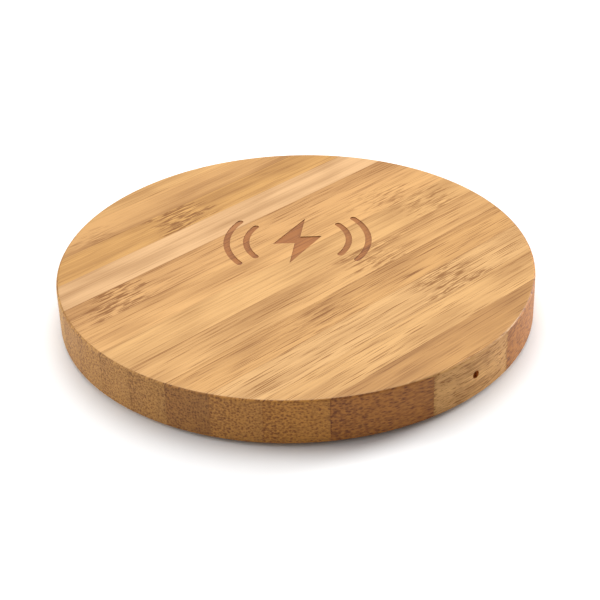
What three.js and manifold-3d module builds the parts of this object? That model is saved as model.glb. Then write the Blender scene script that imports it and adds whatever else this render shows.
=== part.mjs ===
// Round bamboo wireless charging pad: a milled bamboo casing closed by a screwed base plate,
// with a charging coil, its ferrite shield and a circuit board inside.
// Millimetres, +Z up. The origin is the centre of the pad on the surface that it stands on.
// The bamboo's grain runs along X. The status light shines out at -Y and the USB port opens at +Y.

import * as THREE from "three";
import { mergeVertices } from "three/addons/utils/BufferGeometryUtils.js";
import Module from "manifold-3d";

const wasm = await Module();
wasm.setup();

// ---- Driving dimensions ----

// Casing
const PAD_DIAMETER = 95;
const PAD_HEIGHT = 10; // from the standing surface to the charging face
const CASING_WALL = 12; // between the electronics pocket and the rim
const TOP_SKIN = 1.8; // bamboo left over the coil
const TOP_EDGE_ROUND = 0.45;
const BOTTOM_EDGE_CHAMFER = 0.4;

// Laser-engraved charging sign: a bolt between two pairs of waves
const SIGN = {
  depth: 0.15,
  turn: THREE.MathUtils.degToRad(-42.6), // it faces a user who sits between the light and the grain's end
  centre: [0.6, 8.5], // seen by that user: beyond the pad's middle
  boltHeight: 18,
  boltWidth: 10,
  waveRadii: [10.5, 14.5],
  waveHalfAngle: 0.62,
  waveStroke: 1.3,
};

// Base plate, feet and screws
const PLATE_THICKNESS = 1.6;
const PLATE_LEDGE = 7.5; // width of the casing's ledge that the plate is screwed to
const PLATE_EDGE_CHAMFER = 0.3;
const FOOT_COUNT = 4;
const FOOT_DIAMETER = 9;
const FOOT_PROUD = 0.6; // how far the feet lift the casing
const FOOT_RECESS = 0.5;
const FOOT_EDGE_ROUND = 0.35;
const FOOT_MARGIN = 0.5; // foot to the plate's edge
const BASE_SCREW = { shank: 2, head: 3.6, headHeight: 0.8, length: 5, tip: 1.2 };
const BOARD_SCREW = { shank: 1.7, head: 3.2, headHeight: 1, length: 2.4, tip: 0.4 };
const BOSS_DIAMETER = 4.4;
const DRIVE_DEPTH = 0.45; // of the cross recess in a screw's head
const DRIVE_SLOT = 0.4;

// Circuit board
const BOARD_THICKNESS = 1;
const BOARD_LIFT = 0.8; // underside of the board to the base plate
const BOARD_MARGIN = 1; // board edge to the pocket's wall
const COMPONENT_RING = 9; // width of the ring round the ferrite that holds the components
const COMPONENT_GAP = 1; // between neighbours on the ring

// Coil stack, hung from the pocket's ceiling
const TAPE_THICKNESS = 0.2;
const COIL_TURNS = 10;
const COIL_WIRE = 0.55;
const COIL_WIRE_GAP = 0.0375; // enamel and glue between wires
const COIL_STRANDS = 2; // wires laid side by side in each turn
const COIL_LAYERS = 2;
const FERRITE_THICKNESS = 0.8;
const FERRITE_MARGIN = 3.5; // ferrite beyond the coil
const FERRITE_CHAMFER = 0.15;
const FOAM_MARGIN = 5.5; // ferrite beyond the foam
const LEAD_DIAMETER = 0.9;
const LEAD_LANDING = 2.7; // length of a lead that lies on its solder pad
const LEAD_SLOT = 2.4; // room on the ring for one coil lead

// USB micro-B receptacle
const PORT = { width: 7.5, height: 2.5, depth: 5, sheet: 0.3, bevel: 1.05, cornerRound: 0.35 };
const PORT_SETBACK = 0.6; // mouth behind the rim
const PORT_WALL = 2; // bamboo left in front of the port's bay
const PORT_TONGUE = { width: 3.7, height: 0.6, length: 2.9, drop: 0.35 };
const PORT_INSULATOR_DEPTH = 1.4;
const CONTACT = { count: 5, pitch: 0.65, width: 0.28, thickness: 0.12, length: 2.4 };
const BOARD_TONGUE_WIDTH = 12;

// Status light
const LIGHT_HOLE_DIAMETER = 1.6;
const LIGHT_PIPE_DIAMETER = 1.4;
const LIGHT_PIPE_SETBACK = 3; // end of the pipe behind the rim
const LIGHT_ABOVE_BOARD = 1.6;
const LED = { width: 1.6, depth: 0.8, height: 0.6 };

// Components: width runs round the ring and depth along the radius
const CONTROLLER = { width: 5, depth: 5, height: 0.85 };
const DRIVER = {
  width: 4.9,
  depth: 3.9,
  height: 1.5,
  leadSpan: 6,
  leadWidth: 0.42,
  leadThickness: 0.2,
  leadPitch: 1.27,
};
const RESONANT_CAPACITOR = { width: 3.2, depth: 2.5, height: 2 };
const INPUT_CAPACITOR = { width: 3.5, depth: 2.8, height: 1.9 };
const SENSE_RESISTOR = { width: 6.3, depth: 3.2, height: 0.6 };
const CRYSTAL = { width: 3.2, depth: 2.5, height: 0.8 };
const SMALL_PASSIVE = { width: 1.6, depth: 0.8, height: 0.5 };

// Clearances
const SEAT = 0.05; // between faces that rest on each other
const SLIDE = 0.15; // all round a piece that drops into a recess
const PASS = 0.25; // all round a piece that passes through a wall

// Fineness of round stretches
const RIM_SEGMENTS = 120;
const DISC_SEGMENTS = 64;
const SMALL_SEGMENTS = 20;

// ---- Derived places ----

const padRadius = PAD_DIAMETER / 2;
const pocketRadius = padRadius - CASING_WALL;
const casingBottom = FOOT_PROUD;
const pocketCeiling = PAD_HEIGHT - TOP_SKIN;
const plateTop = casingBottom + PLATE_THICKNESS;
const plateRadius = pocketRadius + PLATE_LEDGE;
const boardBottom = plateTop + BOARD_LIFT;
const boardTop = boardBottom + BOARD_THICKNESS;
const boardRadius = pocketRadius - BOARD_MARGIN;
const ferriteRadius = boardRadius - COMPONENT_RING;
const ringRadius = (ferriteRadius + boardRadius) / 2;
const footRadius = FOOT_DIAMETER / 2;
const footPlaceRadius = plateRadius - FOOT_MARGIN - footRadius;

const tapeBottom = pocketCeiling - SEAT - TAPE_THICKNESS;
const coilTop = tapeBottom - SEAT;
const coilThickness = COIL_LAYERS * (COIL_WIRE + COIL_WIRE_GAP);
const coilBottom = coilTop - coilThickness;
const coilOuterRadius = ferriteRadius - FERRITE_MARGIN;
const coilInnerRadius = coilOuterRadius - COIL_TURNS * COIL_STRANDS * (COIL_WIRE + COIL_WIRE_GAP);
const ferriteTop = coilBottom - SEAT;
const ferriteBottom = ferriteTop - FERRITE_THICKNESS;

const portMouth = padRadius - PORT_SETBACK;
const portBottom = boardTop + SEAT;
const portTop = portBottom + PORT.height;
const bayEnd = padRadius - PORT_WALL;
const bayHalfWidth = BOARD_TONGUE_WIDTH / 2 + 2 * PASS;
const lightHeight = boardTop + LIGHT_ABOVE_BOARD;

// ---- Materials ----

const finish = (color, roughness, metalness = 0) =>
  new THREE.MeshStandardMaterial({ color, roughness, metalness });

const materials = {
  bamboo: finish(0xdca66c, 0.5),
  blackPlastic: finish(0x1b1b1d, 0.55),
  rubber: finish(0x26272a, 0.85),
  zincSteel: finish(0xb9bcc0, 0.35, 1),
  boardGreen: finish(0x1d5a38, 0.45),
  tape: finish(0xe9e4d2, 0.6),
  copperWire: finish(0xb5622d, 0.35, 1),
  ferrite: finish(0x3a3b3f, 0.6),
  foam: finish(0x2c2d30, 0.95),
  tinnedSteel: finish(0xc8cacd, 0.28, 1),
  portPlastic: finish(0x18181a, 0.5),
  goldContact: finish(0xd8a63f, 0.25, 1),
  clearAcrylic: finish(0xf1f5f6, 0.08),
  ledResin: finish(0xf4f1dc, 0.3),
  chipResin: finish(0x212226, 0.6),
  ceramic: finish(0xa98b66, 0.55),
  tantalum: finish(0xd8952c, 0.5),
  resistorBody: finish(0x1e1f24, 0.4),
};

// ---- Solid helpers ----

/** A closed geometry as a manifold-3d solid. */
function solidOf(geometry) {
  const bare = new THREE.BufferGeometry();
  const loose = geometry.index ? geometry.toNonIndexed() : geometry;
  bare.setAttribute("position", loose.getAttribute("position"));
  const merged = mergeVertices(bare, 1e-4);
  const triVerts = [];
  const index = merged.index.array;
  for (let i = 0; i < index.length; i += 3) {
    const [a, b, c] = [index[i], index[i + 1], index[i + 2]];
    if (a !== b && b !== c && c !== a) triVerts.push(a, b, c);
  }
  return new wasm.Manifold(
    new wasm.Mesh({
      numProp: 3,
      vertProperties: merged.attributes.position.array,
      triVerts: new Uint32Array(triVerts),
    }),
  );
}

/** A manifold-3d solid as a geometry. */
function geometryOf(solid) {
  const mesh = solid.getMesh();
  const geometry = new THREE.BufferGeometry();
  geometry.setAttribute("position", new THREE.BufferAttribute(mesh.vertProperties, 3));
  geometry.setIndex(new THREE.BufferAttribute(mesh.triVerts, 1));
  geometry.computeVertexNormals();
  return geometry;
}

/** The first geometry with the others joined on and cut away. */
function carve(base, { add = [], cut = [] }) {
  let solid = solidOf(base);
  for (const geometry of add) solid = solid.add(solidOf(geometry));
  for (const geometry of cut) solid = solid.subtract(solidOf(geometry));
  return geometryOf(solid);
}

/** A solid of revolution about Z from [radius, height] points, listed anticlockwise. */
function turned(profile, segments) {
  const points = profile.map(([radius, height]) => new THREE.Vector2(radius, height));
  return new THREE.LatheGeometry(points, segments).rotateX(Math.PI / 2);
}

/** An upright cylinder between two heights. */
function post(radius, bottom, top, segments = SMALL_SEGMENTS) {
  return turned([[0, bottom], [radius, bottom], [radius, top], [0, top]], segments);
}

/** A box from its lowest corner to its highest. */
function block(low, high) {
  const size = high.map((value, axis) => value - low[axis]);
  const middle = high.map((value, axis) => (value + low[axis]) / 2);
  return new THREE.BoxGeometry(...size).translate(...middle);
}

/** A closed outline drawn through [x, y] points. */
function outline(points) {
  return new THREE.Shape(points.map(([x, y]) => new THREE.Vector2(x, y)));
}

/** A flat outline raised from one height to another. */
function raised(shape, bottom, top, curveSegments = SMALL_SEGMENTS) {
  const options = { depth: top - bottom, bevelEnabled: false, curveSegments };
  return new THREE.ExtrudeGeometry(shape, options).translate(0, 0, bottom);
}

/** An outline in X and Z pushed along Y from one place to another. */
function pushedAlongY(shape, start, end, curveSegments = 6) {
  const options = { depth: end - start, bevelEnabled: false, curveSegments };
  return new THREE.ExtrudeGeometry(shape, options).rotateX(Math.PI / 2).translate(0, end, 0);
}

/** Points of a quarter-round from one angle to another, as [radius, height]. */
function roundCorner(centre, radius, fromAngle, toAngle, steps = 4) {
  return Array.from({ length: steps + 1 }, (_, i) => {
    const angle = fromAngle + ((toAngle - fromAngle) * i) / steps;
    return [centre[0] + radius * Math.cos(angle), centre[1] + radius * Math.sin(angle)];
  });
}

// ---- Places round the pad ----

/** Angles of the base screws and feet, between the port, the light and the grain's ends. */
const footAngles = Array.from(
  { length: FOOT_COUNT },
  (_, i) => ((i + 0.5) * 2 * Math.PI) / FOOT_COUNT,
);

/** A point at a radius and angle, as [x, y]. */
const polar = (radius, angle) => [radius * Math.cos(angle), radius * Math.sin(angle)];

/**
 * Sets pieces side by side round the component ring, starting beside the port.
 * Direction is -1 for clockwise and 1 for anticlockwise. Returns each piece's angle by name.
 */
function setRoundRing(pieces, direction) {
  const places = {};
  let travelled = bayHalfWidth + COMPONENT_GAP;
  for (const [name, width] of pieces) {
    places[name] = Math.PI / 2 + (direction * (travelled + width / 2)) / ringRadius;
    travelled += width + COMPONENT_GAP;
  }
  return places;
}

const ringPlaces = {
  ...setRoundRing(
    [
      ["input_capacitor_1", INPUT_CAPACITOR.width],
      ["input_capacitor_2", INPUT_CAPACITOR.width],
      ["board_screw_1", BOSS_DIAMETER],
      ["ceramic_capacitor_1", SMALL_PASSIVE.width],
      ["ceramic_capacitor_2", SMALL_PASSIVE.width],
      ["controller", CONTROLLER.width],
      ["ceramic_capacitor_3", SMALL_PASSIVE.width],
      ["crystal", CRYSTAL.width],
      ["ceramic_capacitor_4", SMALL_PASSIVE.width],
      ["resistor_1", SMALL_PASSIVE.width],
      ["resistor_2", SMALL_PASSIVE.width],
      ["board_screw_2", BOSS_DIAMETER],
    ],
    -1,
  ),
  ...setRoundRing(
    [
      ["sense_resistor", SENSE_RESISTOR.width],
      ["board_screw_3", BOSS_DIAMETER],
      ["driver_1", DRIVER.width],
      ["driver_2", DRIVER.width],
      ["resistor_3", SMALL_PASSIVE.width],
      ["coil_lead_1", LEAD_SLOT],
      ["coil_lead_2", LEAD_SLOT],
      ["resonant_capacitor_1", RESONANT_CAPACITOR.width],
      ["resonant_capacitor_2", RESONANT_CAPACITOR.width],
      ["resonant_capacitor_3", RESONANT_CAPACITOR.width],
      ["resonant_capacitor_4", RESONANT_CAPACITOR.width],
      ["resistor_4", SMALL_PASSIVE.width],
    ],
    1,
  ),
};
const boardScrewNames = ["board_screw_1", "board_screw_2", "board_screw_3"];
const boardScrewPlaces = boardScrewNames.map((name) => polar(ringRadius, ringPlaces[name]));
const footPlaces = footAngles.map((angle) => polar(footPlaceRadius, angle));

// ---- The engraved charging sign ----

/** A lightning bolt drawn upright about the origin. */
function boltShape() {
  const halfHeight = SIGN.boltHeight / 2;
  const halfWidth = SIGN.boltWidth / 2;
  return outline([
    [halfWidth * 0.35, halfHeight],
    [-halfWidth, -halfHeight * 0.12],
    [-halfWidth * 0.12, -halfHeight * 0.12],
    [-halfWidth * 0.35, -halfHeight],
    [halfWidth, halfHeight * 0.16],
    [halfWidth * 0.12, halfHeight * 0.16],
  ]);
}

/** One wave beside the bolt: an arc of even stroke with round ends, on side -1 or 1. */
function waveShape(radius, side) {
  const middle = side > 0 ? 0 : Math.PI;
  const start = middle - SIGN.waveHalfAngle;
  const end = middle + SIGN.waveHalfAngle;
  const half = SIGN.waveStroke / 2;
  const shape = new THREE.Shape();
  shape.absarc(0, 0, radius + half, start, end, false);
  shape.absarc(...polar(radius, end), half, end, end + Math.PI, false);
  shape.absarc(0, 0, radius - half, end, start, true);
  shape.absarc(...polar(radius, start), half, start + Math.PI, start + 2 * Math.PI, false);
  return shape;
}

/** The cutters that sink the sign into the charging face. */
function signCutters() {
  const waves = SIGN.waveRadii.flatMap((radius) => [waveShape(radius, -1), waveShape(radius, 1)]);
  return [boltShape(), ...waves].map((shape) =>
    raised(shape, PAD_HEIGHT - SIGN.depth, PAD_HEIGHT + 1, 8)
      .translate(...SIGN.centre, 0)
      .rotateZ(SIGN.turn),
  );
}

// ---- Casing and base ----

/** Cross-section of the port, in X and Z about its centre, grown by a margin. */
function portShape(grow) {
  const half = PORT.width / 2 + grow;
  const top = PORT.height / 2 + grow;
  const bevel = PORT.bevel + grow * 0.4;
  const round = PORT.cornerRound;
  const shape = new THREE.Shape();
  shape.moveTo(-half + bevel, -top);
  shape.lineTo(half - bevel, -top);
  shape.lineTo(half, -top + bevel);
  shape.lineTo(half, top - round);
  shape.quadraticCurveTo(half, top, half - round, top);
  shape.lineTo(-half + round, top);
  shape.quadraticCurveTo(-half, top, -half, top - round);
  shape.lineTo(-half, -top + bevel);
  shape.closePath();
  return shape;
}

/** A cross-section of the port pushed along Y at the port's height. */
function portPush(shape, start, end) {
  return pushedAlongY(shape, start, end, 4).translate(0, 0, (portBottom + portTop) / 2);
}

/** The laminated bamboo disc, milled from below and engraved on top. */
function bambooCasing() {
  const chamfer = BOTTOM_EDGE_CHAMFER;
  const round = TOP_EDGE_ROUND;
  const disc = turned(
    [
      [0, casingBottom],
      [padRadius - chamfer, casingBottom],
      [padRadius, casingBottom + chamfer],
      ...roundCorner([padRadius - round, PAD_HEIGHT - round], round, 0, Math.PI / 2),
      [0, PAD_HEIGHT],
    ],
    RIM_SEGMENTS,
  );
  const below = casingBottom - 1;
  const pilotTop = casingBottom + FOOT_RECESS + BASE_SCREW.length + SEAT;
  const pocket = post(pocketRadius, below, pocketCeiling, DISC_SEGMENTS);
  const plateSeat = post(plateRadius + SLIDE, below, plateTop + SEAT, RIM_SEGMENTS);
  const portBay = block([-bayHalfWidth, 0, below], [bayHalfWidth, bayEnd, portTop + 2 * PASS]);
  const portWindow = portPush(portShape(PASS), bayEnd - 1, padRadius + 1);
  const lightHole = new THREE.CylinderGeometry(
    LIGHT_HOLE_DIAMETER / 2,
    LIGHT_HOLE_DIAMETER / 2,
    CASING_WALL + 2,
    SMALL_SEGMENTS,
  ).translate(0, -(pocketRadius + CASING_WALL / 2), lightHeight);
  const pilots = footPlaces.map(([x, y]) =>
    post(BASE_SCREW.shank / 2 + SEAT, below, pilotTop, SMALL_SEGMENTS).translate(x, y, 0),
  );
  return carve(disc, {
    cut: [pocket, plateSeat, portBay, portWindow, lightHole, ...pilots, ...signCutters()],
  });
}

/** The moulded plate that closes the casing, with a tab under the port and bosses for the board. */
function basePlate() {
  const chamfer = PLATE_EDGE_CHAMFER;
  const disc = turned(
    [
      [0, casingBottom],
      [plateRadius - chamfer, casingBottom],
      [plateRadius, casingBottom + chamfer],
      [plateRadius, plateTop],
      [0, plateTop],
    ],
    RIM_SEGMENTS,
  );
  const tabHalfWidth = bayHalfWidth - SLIDE;
  const tab = block(
    [-tabHalfWidth, pocketRadius, casingBottom],
    [tabHalfWidth, bayEnd - SLIDE, plateTop],
  );
  const bosses = boardScrewPlaces.map(([x, y]) =>
    post(BOSS_DIAMETER / 2, plateTop - SEAT, boardBottom - SEAT).translate(x, y, 0),
  );
  const recessFloor = casingBottom + FOOT_RECESS;
  const cuts = footPlaces.flatMap(([x, y]) => [
    post(footRadius + SLIDE, casingBottom - 1, recessFloor, DISC_SEGMENTS / 2),
    post(BASE_SCREW.shank / 2 + SLIDE, recessFloor - 1, plateTop + 1),
    turned(
      [
        [0, recessFloor - SEAT],
        [BASE_SCREW.head / 2 + SLIDE, recessFloor - SEAT],
        [BASE_SCREW.head / 2 + SLIDE, recessFloor + SEAT],
        [BASE_SCREW.shank / 2 + SLIDE, recessFloor + BASE_SCREW.headHeight + SEAT],
        [0, recessFloor + BASE_SCREW.headHeight + SEAT],
      ],
      SMALL_SEGMENTS,
    ),
  ].map((cutter) => cutter.translate(x, y, 0)));
  const pilotFloor = boardTop - BOARD_SCREW.length - SEAT;
  const pilots = boardScrewPlaces.map(([x, y]) =>
    post(BOARD_SCREW.shank / 2 + SEAT, pilotFloor, boardTop).translate(x, y, 0),
  );
  return carve(disc, { add: [tab, ...bosses], cut: [...cuts, ...pilots] });
}

/** A round silicone foot with an eased lower edge. */
function foot() {
  const top = FOOT_PROUD + FOOT_RECESS - SEAT;
  const corner = [footRadius - FOOT_EDGE_ROUND, FOOT_EDGE_ROUND];
  return turned(
    [
      [0, 0],
      ...roundCorner(corner, FOOT_EDGE_ROUND, -Math.PI / 2, 0),
      [footRadius, top],
      [0, top],
    ],
    DISC_SEGMENTS / 2,
  );
}

/** The cross that a screwdriver turns, sunk into a head whose face is at height 0. */
function driveCross(head) {
  const half = head * 0.3;
  const slot = DRIVE_SLOT / 2;
  return [
    block([-half, -slot, -1], [half, slot, DRIVE_DEPTH]),
    block([-slot, -half, -1], [slot, half, DRIVE_DEPTH]),
  ];
}

/** A countersunk screw whose face is at height 0 and whose point is up. */
function countersunkScrew({ shank, head, headHeight, length, tip }) {
  const body = turned(
    [
      [0, 0],
      [head / 2, 0],
      [shank / 2, headHeight],
      [shank / 2, length - tip],
      [shank / 6, length],
      [0, length],
    ],
    SMALL_SEGMENTS,
  );
  return carve(body, { cut: driveCross(head) });
}

/** A pan-head screw whose face is at height 0 and whose head reaches up; its point is down. */
function panHeadScrew({ shank, head, headHeight, length, tip }) {
  const body = turned(
    [
      [0, -length],
      [shank / 4, -length],
      [shank / 2, tip - length],
      [shank / 2, 0],
      [head / 2, 0],
      [head / 2, headHeight * 0.45],
      [head * 0.36, headHeight * 0.88],
      [head * 0.18, headHeight],
      [0, headHeight],
    ],
    SMALL_SEGMENTS,
  );
  const cross = driveCross(head).map((cutter) => cutter.rotateX(Math.PI).translate(0, 0, headHeight));
  return carve(body, { cut: cross });
}

// ---- Circuit board and coil stack ----

/** The round board, with a tongue that carries the port to the rim. */
function circuitBoard() {
  const disc = post(boardRadius, boardBottom, boardTop, DISC_SEGMENTS);
  const half = BOARD_TONGUE_WIDTH / 2;
  const tongue = block([-half, 0, boardBottom], [half, bayEnd - PASS, boardTop]);
  const holes = boardScrewPlaces.map(([x, y]) =>
    post(BOARD_SCREW.shank / 2 + SLIDE, boardBottom - 1, boardTop + 1).translate(x, y, 0),
  );
  return carve(disc, { add: [tongue], cut: holes });
}

/** The flat winding, as one ring with eased edges. */
function chargingCoil() {
  const ease = COIL_WIRE / 2;
  return turned(
    [
      [coilInnerRadius, coilBottom + ease],
      [coilInnerRadius + ease, coilBottom],
      [coilOuterRadius - ease, coilBottom],
      [coilOuterRadius, coilBottom + ease],
      [coilOuterRadius, coilTop - ease],
      [coilOuterRadius - ease, coilTop],
      [coilInnerRadius + ease, coilTop],
      [coilInnerRadius, coilTop - ease],
      [coilInnerRadius, coilBottom + ease],
    ],
    DISC_SEGMENTS,
  );
}

/** The pressed ferrite disc that shields the board from the coil. */
function ferriteShield() {
  const chamfer = FERRITE_CHAMFER;
  return turned(
    [
      [0, ferriteBottom],
      [ferriteRadius - chamfer, ferriteBottom],
      [ferriteRadius, ferriteBottom + chamfer],
      [ferriteRadius, ferriteTop - chamfer],
      [ferriteRadius - chamfer, ferriteTop],
      [0, ferriteTop],
    ],
    DISC_SEGMENTS,
  );
}

/** One coil lead: out over the ferrite's edge and down to its pad, along +X before it is turned. */
function coilLead(layer) {
  const start = coilBottom + LEAD_DIAMETER / 2 + SEAT + layer * (coilThickness - LEAD_DIAMETER);
  const landing = boardTop + LEAD_DIAMETER / 2 + SEAT;
  const bendStart = ferriteRadius + LEAD_DIAMETER;
  const bendEnd = bendStart + 2 * LEAD_DIAMETER;
  const at = (x, z) => new THREE.Vector3(x, 0, z);
  const path = new THREE.CurvePath();
  path.add(new THREE.LineCurve3(at(coilOuterRadius + PASS, start), at(bendStart, start)));
  path.add(
    new THREE.CubicBezierCurve3(
      at(bendStart, start),
      at(bendEnd, start),
      at(bendStart, landing),
      at(bendEnd, landing),
    ),
  );
  path.add(new THREE.LineCurve3(at(bendEnd, landing), at(bendEnd + LEAD_LANDING, landing)));
  const section = new THREE.Shape().absarc(0, 0, LEAD_DIAMETER / 2, 0, 2 * Math.PI);
  const options = { extrudePath: path, steps: 24, curveSegments: 4, bevelEnabled: false };
  return new THREE.ExtrudeGeometry(section, options);
}

// ---- Port ----

/** The stamped steel shell, open at its mouth and at its back. */
function portShell() {
  const shape = portShape(0);
  shape.holes.push(portShape(-PORT.sheet));
  return portPush(shape, portMouth - PORT.depth, portMouth);
}

/** The moulded insulator: a plug in the back of the shell and the tongue that carries the contacts. */
function portInsulator() {
  const back = portMouth - PORT.depth;
  const front = back + PORT_INSULATOR_DEPTH;
  const plug = portPush(portShape(-PORT.sheet - SEAT), back + SEAT, front);
  const top = tongueTop();
  const half = PORT_TONGUE.width / 2;
  const tongue = block(
    [-half, front - SLIDE, top - PORT_TONGUE.height],
    [half, front + PORT_TONGUE.length, top],
  );
  return carve(plug, { add: [tongue] });
}

/** Height of the tongue's upper face inside the shell. */
function tongueTop() {
  return portTop - PORT.sheet - PORT_TONGUE.drop;
}

/** One spring contact along the tongue's lower face. */
function portContact(place) {
  const x = (place - (CONTACT.count - 1) / 2) * CONTACT.pitch;
  const top = tongueTop() - PORT_TONGUE.height - SEAT;
  const start = portMouth - PORT.depth + PORT_INSULATOR_DEPTH + SEAT;
  return block(
    [x - CONTACT.width / 2, start, top - CONTACT.thickness],
    [x + CONTACT.width / 2, start + CONTACT.length, top],
  );
}

// ---- Status light ----

/** The clear elbow that turns the LED's light out through the rim. */
function lightPipe() {
  const radius = LIGHT_PIPE_DIAMETER / 2;
  const outerEnd = -(padRadius - LIGHT_PIPE_SETBACK);
  const corner = -ringRadius + radius;
  const length = corner - outerEnd;
  const arm = new THREE.CylinderGeometry(radius, radius, length, SMALL_SEGMENTS).translate(
    0,
    (corner + outerEnd) / 2,
    lightHeight,
  );
  const leg = post(radius, boardTop + LED.height + SEAT, lightHeight + radius).translate(
    0,
    -ringRadius,
    0,
  );
  const mirrorSize = 4 * radius;
  const mirror = block([-mirrorSize, 0, -mirrorSize], [mirrorSize, mirrorSize, mirrorSize])
    .rotateX(Math.PI / 4)
    .translate(0, -ringRadius, lightHeight);
  return carve(arm, { add: [leg], cut: [mirror] });
}

// ---- Components ----

/** A plain rectangular package that stands on the board, with its width along Y. */
function package_({ width, depth, height }) {
  return block([-depth / 2, -width / 2, boardTop + SEAT], [depth / 2, width / 2, boardTop + SEAT + height]);
}

/** An eight-lead driver: its body, raised on two rows of bent leads. */
function driverPackage() {
  const { width, depth, height, leadSpan, leadWidth, leadThickness: sheet, leadPitch } = DRIVER;
  const foot = boardTop + SEAT;
  const shoulder = foot + height / 2;
  const body = block([-depth / 2, -width / 2, foot + sheet / 2], [depth / 2, width / 2, foot + height]);
  const leads = [-1.5, -0.5, 0.5, 1.5].flatMap((place) =>
    [-1, 1].flatMap((side) => {
      const y = place * leadPitch;
      const span = (from, to, low, high) => {
        const [near, far] = side > 0 ? [from, to] : [-to, -from];
        return block([near, y - leadWidth / 2, low], [far, y + leadWidth / 2, high]);
      };
      const knee = (depth / 2 + leadSpan / 2) / 2;
      return [
        span(depth / 2 - SLIDE, knee, shoulder - sheet, shoulder),
        span(knee - sheet, knee, foot, shoulder),
        span(knee - sheet, leadSpan / 2, foot, foot + sheet),
      ];
    }),
  );
  return carve(body, { add: leads });
}

// ---- Assembly ----

const pad = new THREE.Group();

/** Adds one named piece, moved to a place and turned about Z. */
function place(name, geometry, material, [x, y, z] = [0, 0, 0], turn = 0) {
  const mesh = new THREE.Mesh(geometry, material);
  mesh.name = name;
  mesh.position.set(x, y, z);
  mesh.rotation.z = turn;
  pad.add(mesh);
}

/** Adds a component at its place on the ring, facing outwards. */
function placeOnRing(name, geometry, material) {
  const angle = ringPlaces[name];
  place(name, geometry, material, [...polar(ringRadius, angle), 0], angle);
}

/** Adds numbered copies of one component on the ring. */
function placeCopiesOnRing(stem, count, make, material) {
  for (let i = 1; i <= count; i++) placeOnRing(`${stem}_${i}`, make(), material);
}

place("bamboo_casing", bambooCasing(), materials.bamboo);
place("base_plate", basePlate(), materials.blackPlastic);
footPlaces.forEach(([x, y], i) => {
  const face = casingBottom + FOOT_RECESS;
  place(`foot_${i + 1}`, foot(), materials.rubber, [x, y, 0]);
  place(`base_screw_${i + 1}`, countersunkScrew(BASE_SCREW), materials.zincSteel, [x, y, face]);
});
boardScrewPlaces.forEach(([x, y], i) => {
  const seat = boardTop + SEAT;
  place(`board_screw_${i + 1}`, panHeadScrew(BOARD_SCREW), materials.zincSteel, [x, y, seat]);
});

place("circuit_board", circuitBoard(), materials.boardGreen);
place(
  "coil_tape",
  post(coilOuterRadius, tapeBottom, tapeBottom + TAPE_THICKNESS, DISC_SEGMENTS),
  materials.tape,
);
place("charging_coil", chargingCoil(), materials.copperWire);
place("ferrite_shield", ferriteShield(), materials.ferrite);
place(
  "support_foam",
  post(ferriteRadius - FOAM_MARGIN, boardTop + SEAT, ferriteBottom - SEAT, DISC_SEGMENTS),
  materials.foam,
);
for (const layer of [0, 1]) {
  const name = `coil_lead_${layer + 1}`;
  place(name, coilLead(layer), materials.copperWire, [0, 0, 0], ringPlaces[name]);
}

place("port_shell", portShell(), materials.tinnedSteel);
place("port_insulator", portInsulator(), materials.portPlastic);
for (let i = 0; i < CONTACT.count; i++) {
  place(`port_contact_${i + 1}`, portContact(i), materials.goldContact);
}

place("light_pipe", lightPipe(), materials.clearAcrylic);
place("status_led", package_(LED), materials.ledResin, [0, -ringRadius, 0], Math.PI / 2);

placeOnRing("controller", package_(CONTROLLER), materials.chipResin);
placeOnRing("crystal", package_(CRYSTAL), materials.tinnedSteel);
placeOnRing("sense_resistor", package_(SENSE_RESISTOR), materials.resistorBody);
placeCopiesOnRing("driver", 2, driverPackage, materials.chipResin);
placeCopiesOnRing("input_capacitor", 2, () => package_(INPUT_CAPACITOR), materials.tantalum);
placeCopiesOnRing("resonant_capacitor", 4, () => package_(RESONANT_CAPACITOR), materials.ceramic);
placeCopiesOnRing("ceramic_capacitor", 4, () => package_(SMALL_PASSIVE), materials.ceramic);
placeCopiesOnRing("resistor", 4, () => package_(SMALL_PASSIVE), materials.resistorBody);

export default pad;
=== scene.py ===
"""Dresses a round wireless charging pad: a laminated-bamboo casing over a coil and its board.

Every length is in metres unless it says mm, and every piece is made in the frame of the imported
model: +Z up, the bamboo's grain along X, the status light at -Y and the USB inlet at +Y.
"""

import functools
import logging
import math
from collections.abc import Sequence
from dataclasses import dataclass, field
from enum import Enum
from typing import Any

import bmesh
import bpy
from mathutils import Matrix, Vector


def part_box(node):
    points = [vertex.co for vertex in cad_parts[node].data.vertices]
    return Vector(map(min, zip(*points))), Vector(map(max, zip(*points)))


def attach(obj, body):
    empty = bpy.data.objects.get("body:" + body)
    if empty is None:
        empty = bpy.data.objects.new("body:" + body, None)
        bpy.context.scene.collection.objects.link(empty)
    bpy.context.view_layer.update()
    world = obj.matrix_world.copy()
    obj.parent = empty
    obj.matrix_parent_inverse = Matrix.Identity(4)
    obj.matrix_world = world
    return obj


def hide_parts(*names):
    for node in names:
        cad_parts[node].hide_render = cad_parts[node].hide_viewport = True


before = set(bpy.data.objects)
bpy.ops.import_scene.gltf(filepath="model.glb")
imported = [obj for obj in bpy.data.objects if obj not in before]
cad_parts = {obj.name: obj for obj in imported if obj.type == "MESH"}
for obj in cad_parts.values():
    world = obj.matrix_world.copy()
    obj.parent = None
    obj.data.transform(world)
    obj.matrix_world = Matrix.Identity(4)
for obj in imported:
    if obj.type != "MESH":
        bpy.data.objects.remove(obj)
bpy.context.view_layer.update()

log = logging.getLogger("charging_pad")

MM = 0.001
UP = Vector((0.0, 0.0, 1.0))
FULL_TURN = 2 * math.pi
SEAT = 0.05 * MM  # between faces that rest on each other
PAST = 1 * MM  # how far a cutting tool reaches past what it cuts
SAME = 1e-7  # two points closer than this are one

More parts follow.
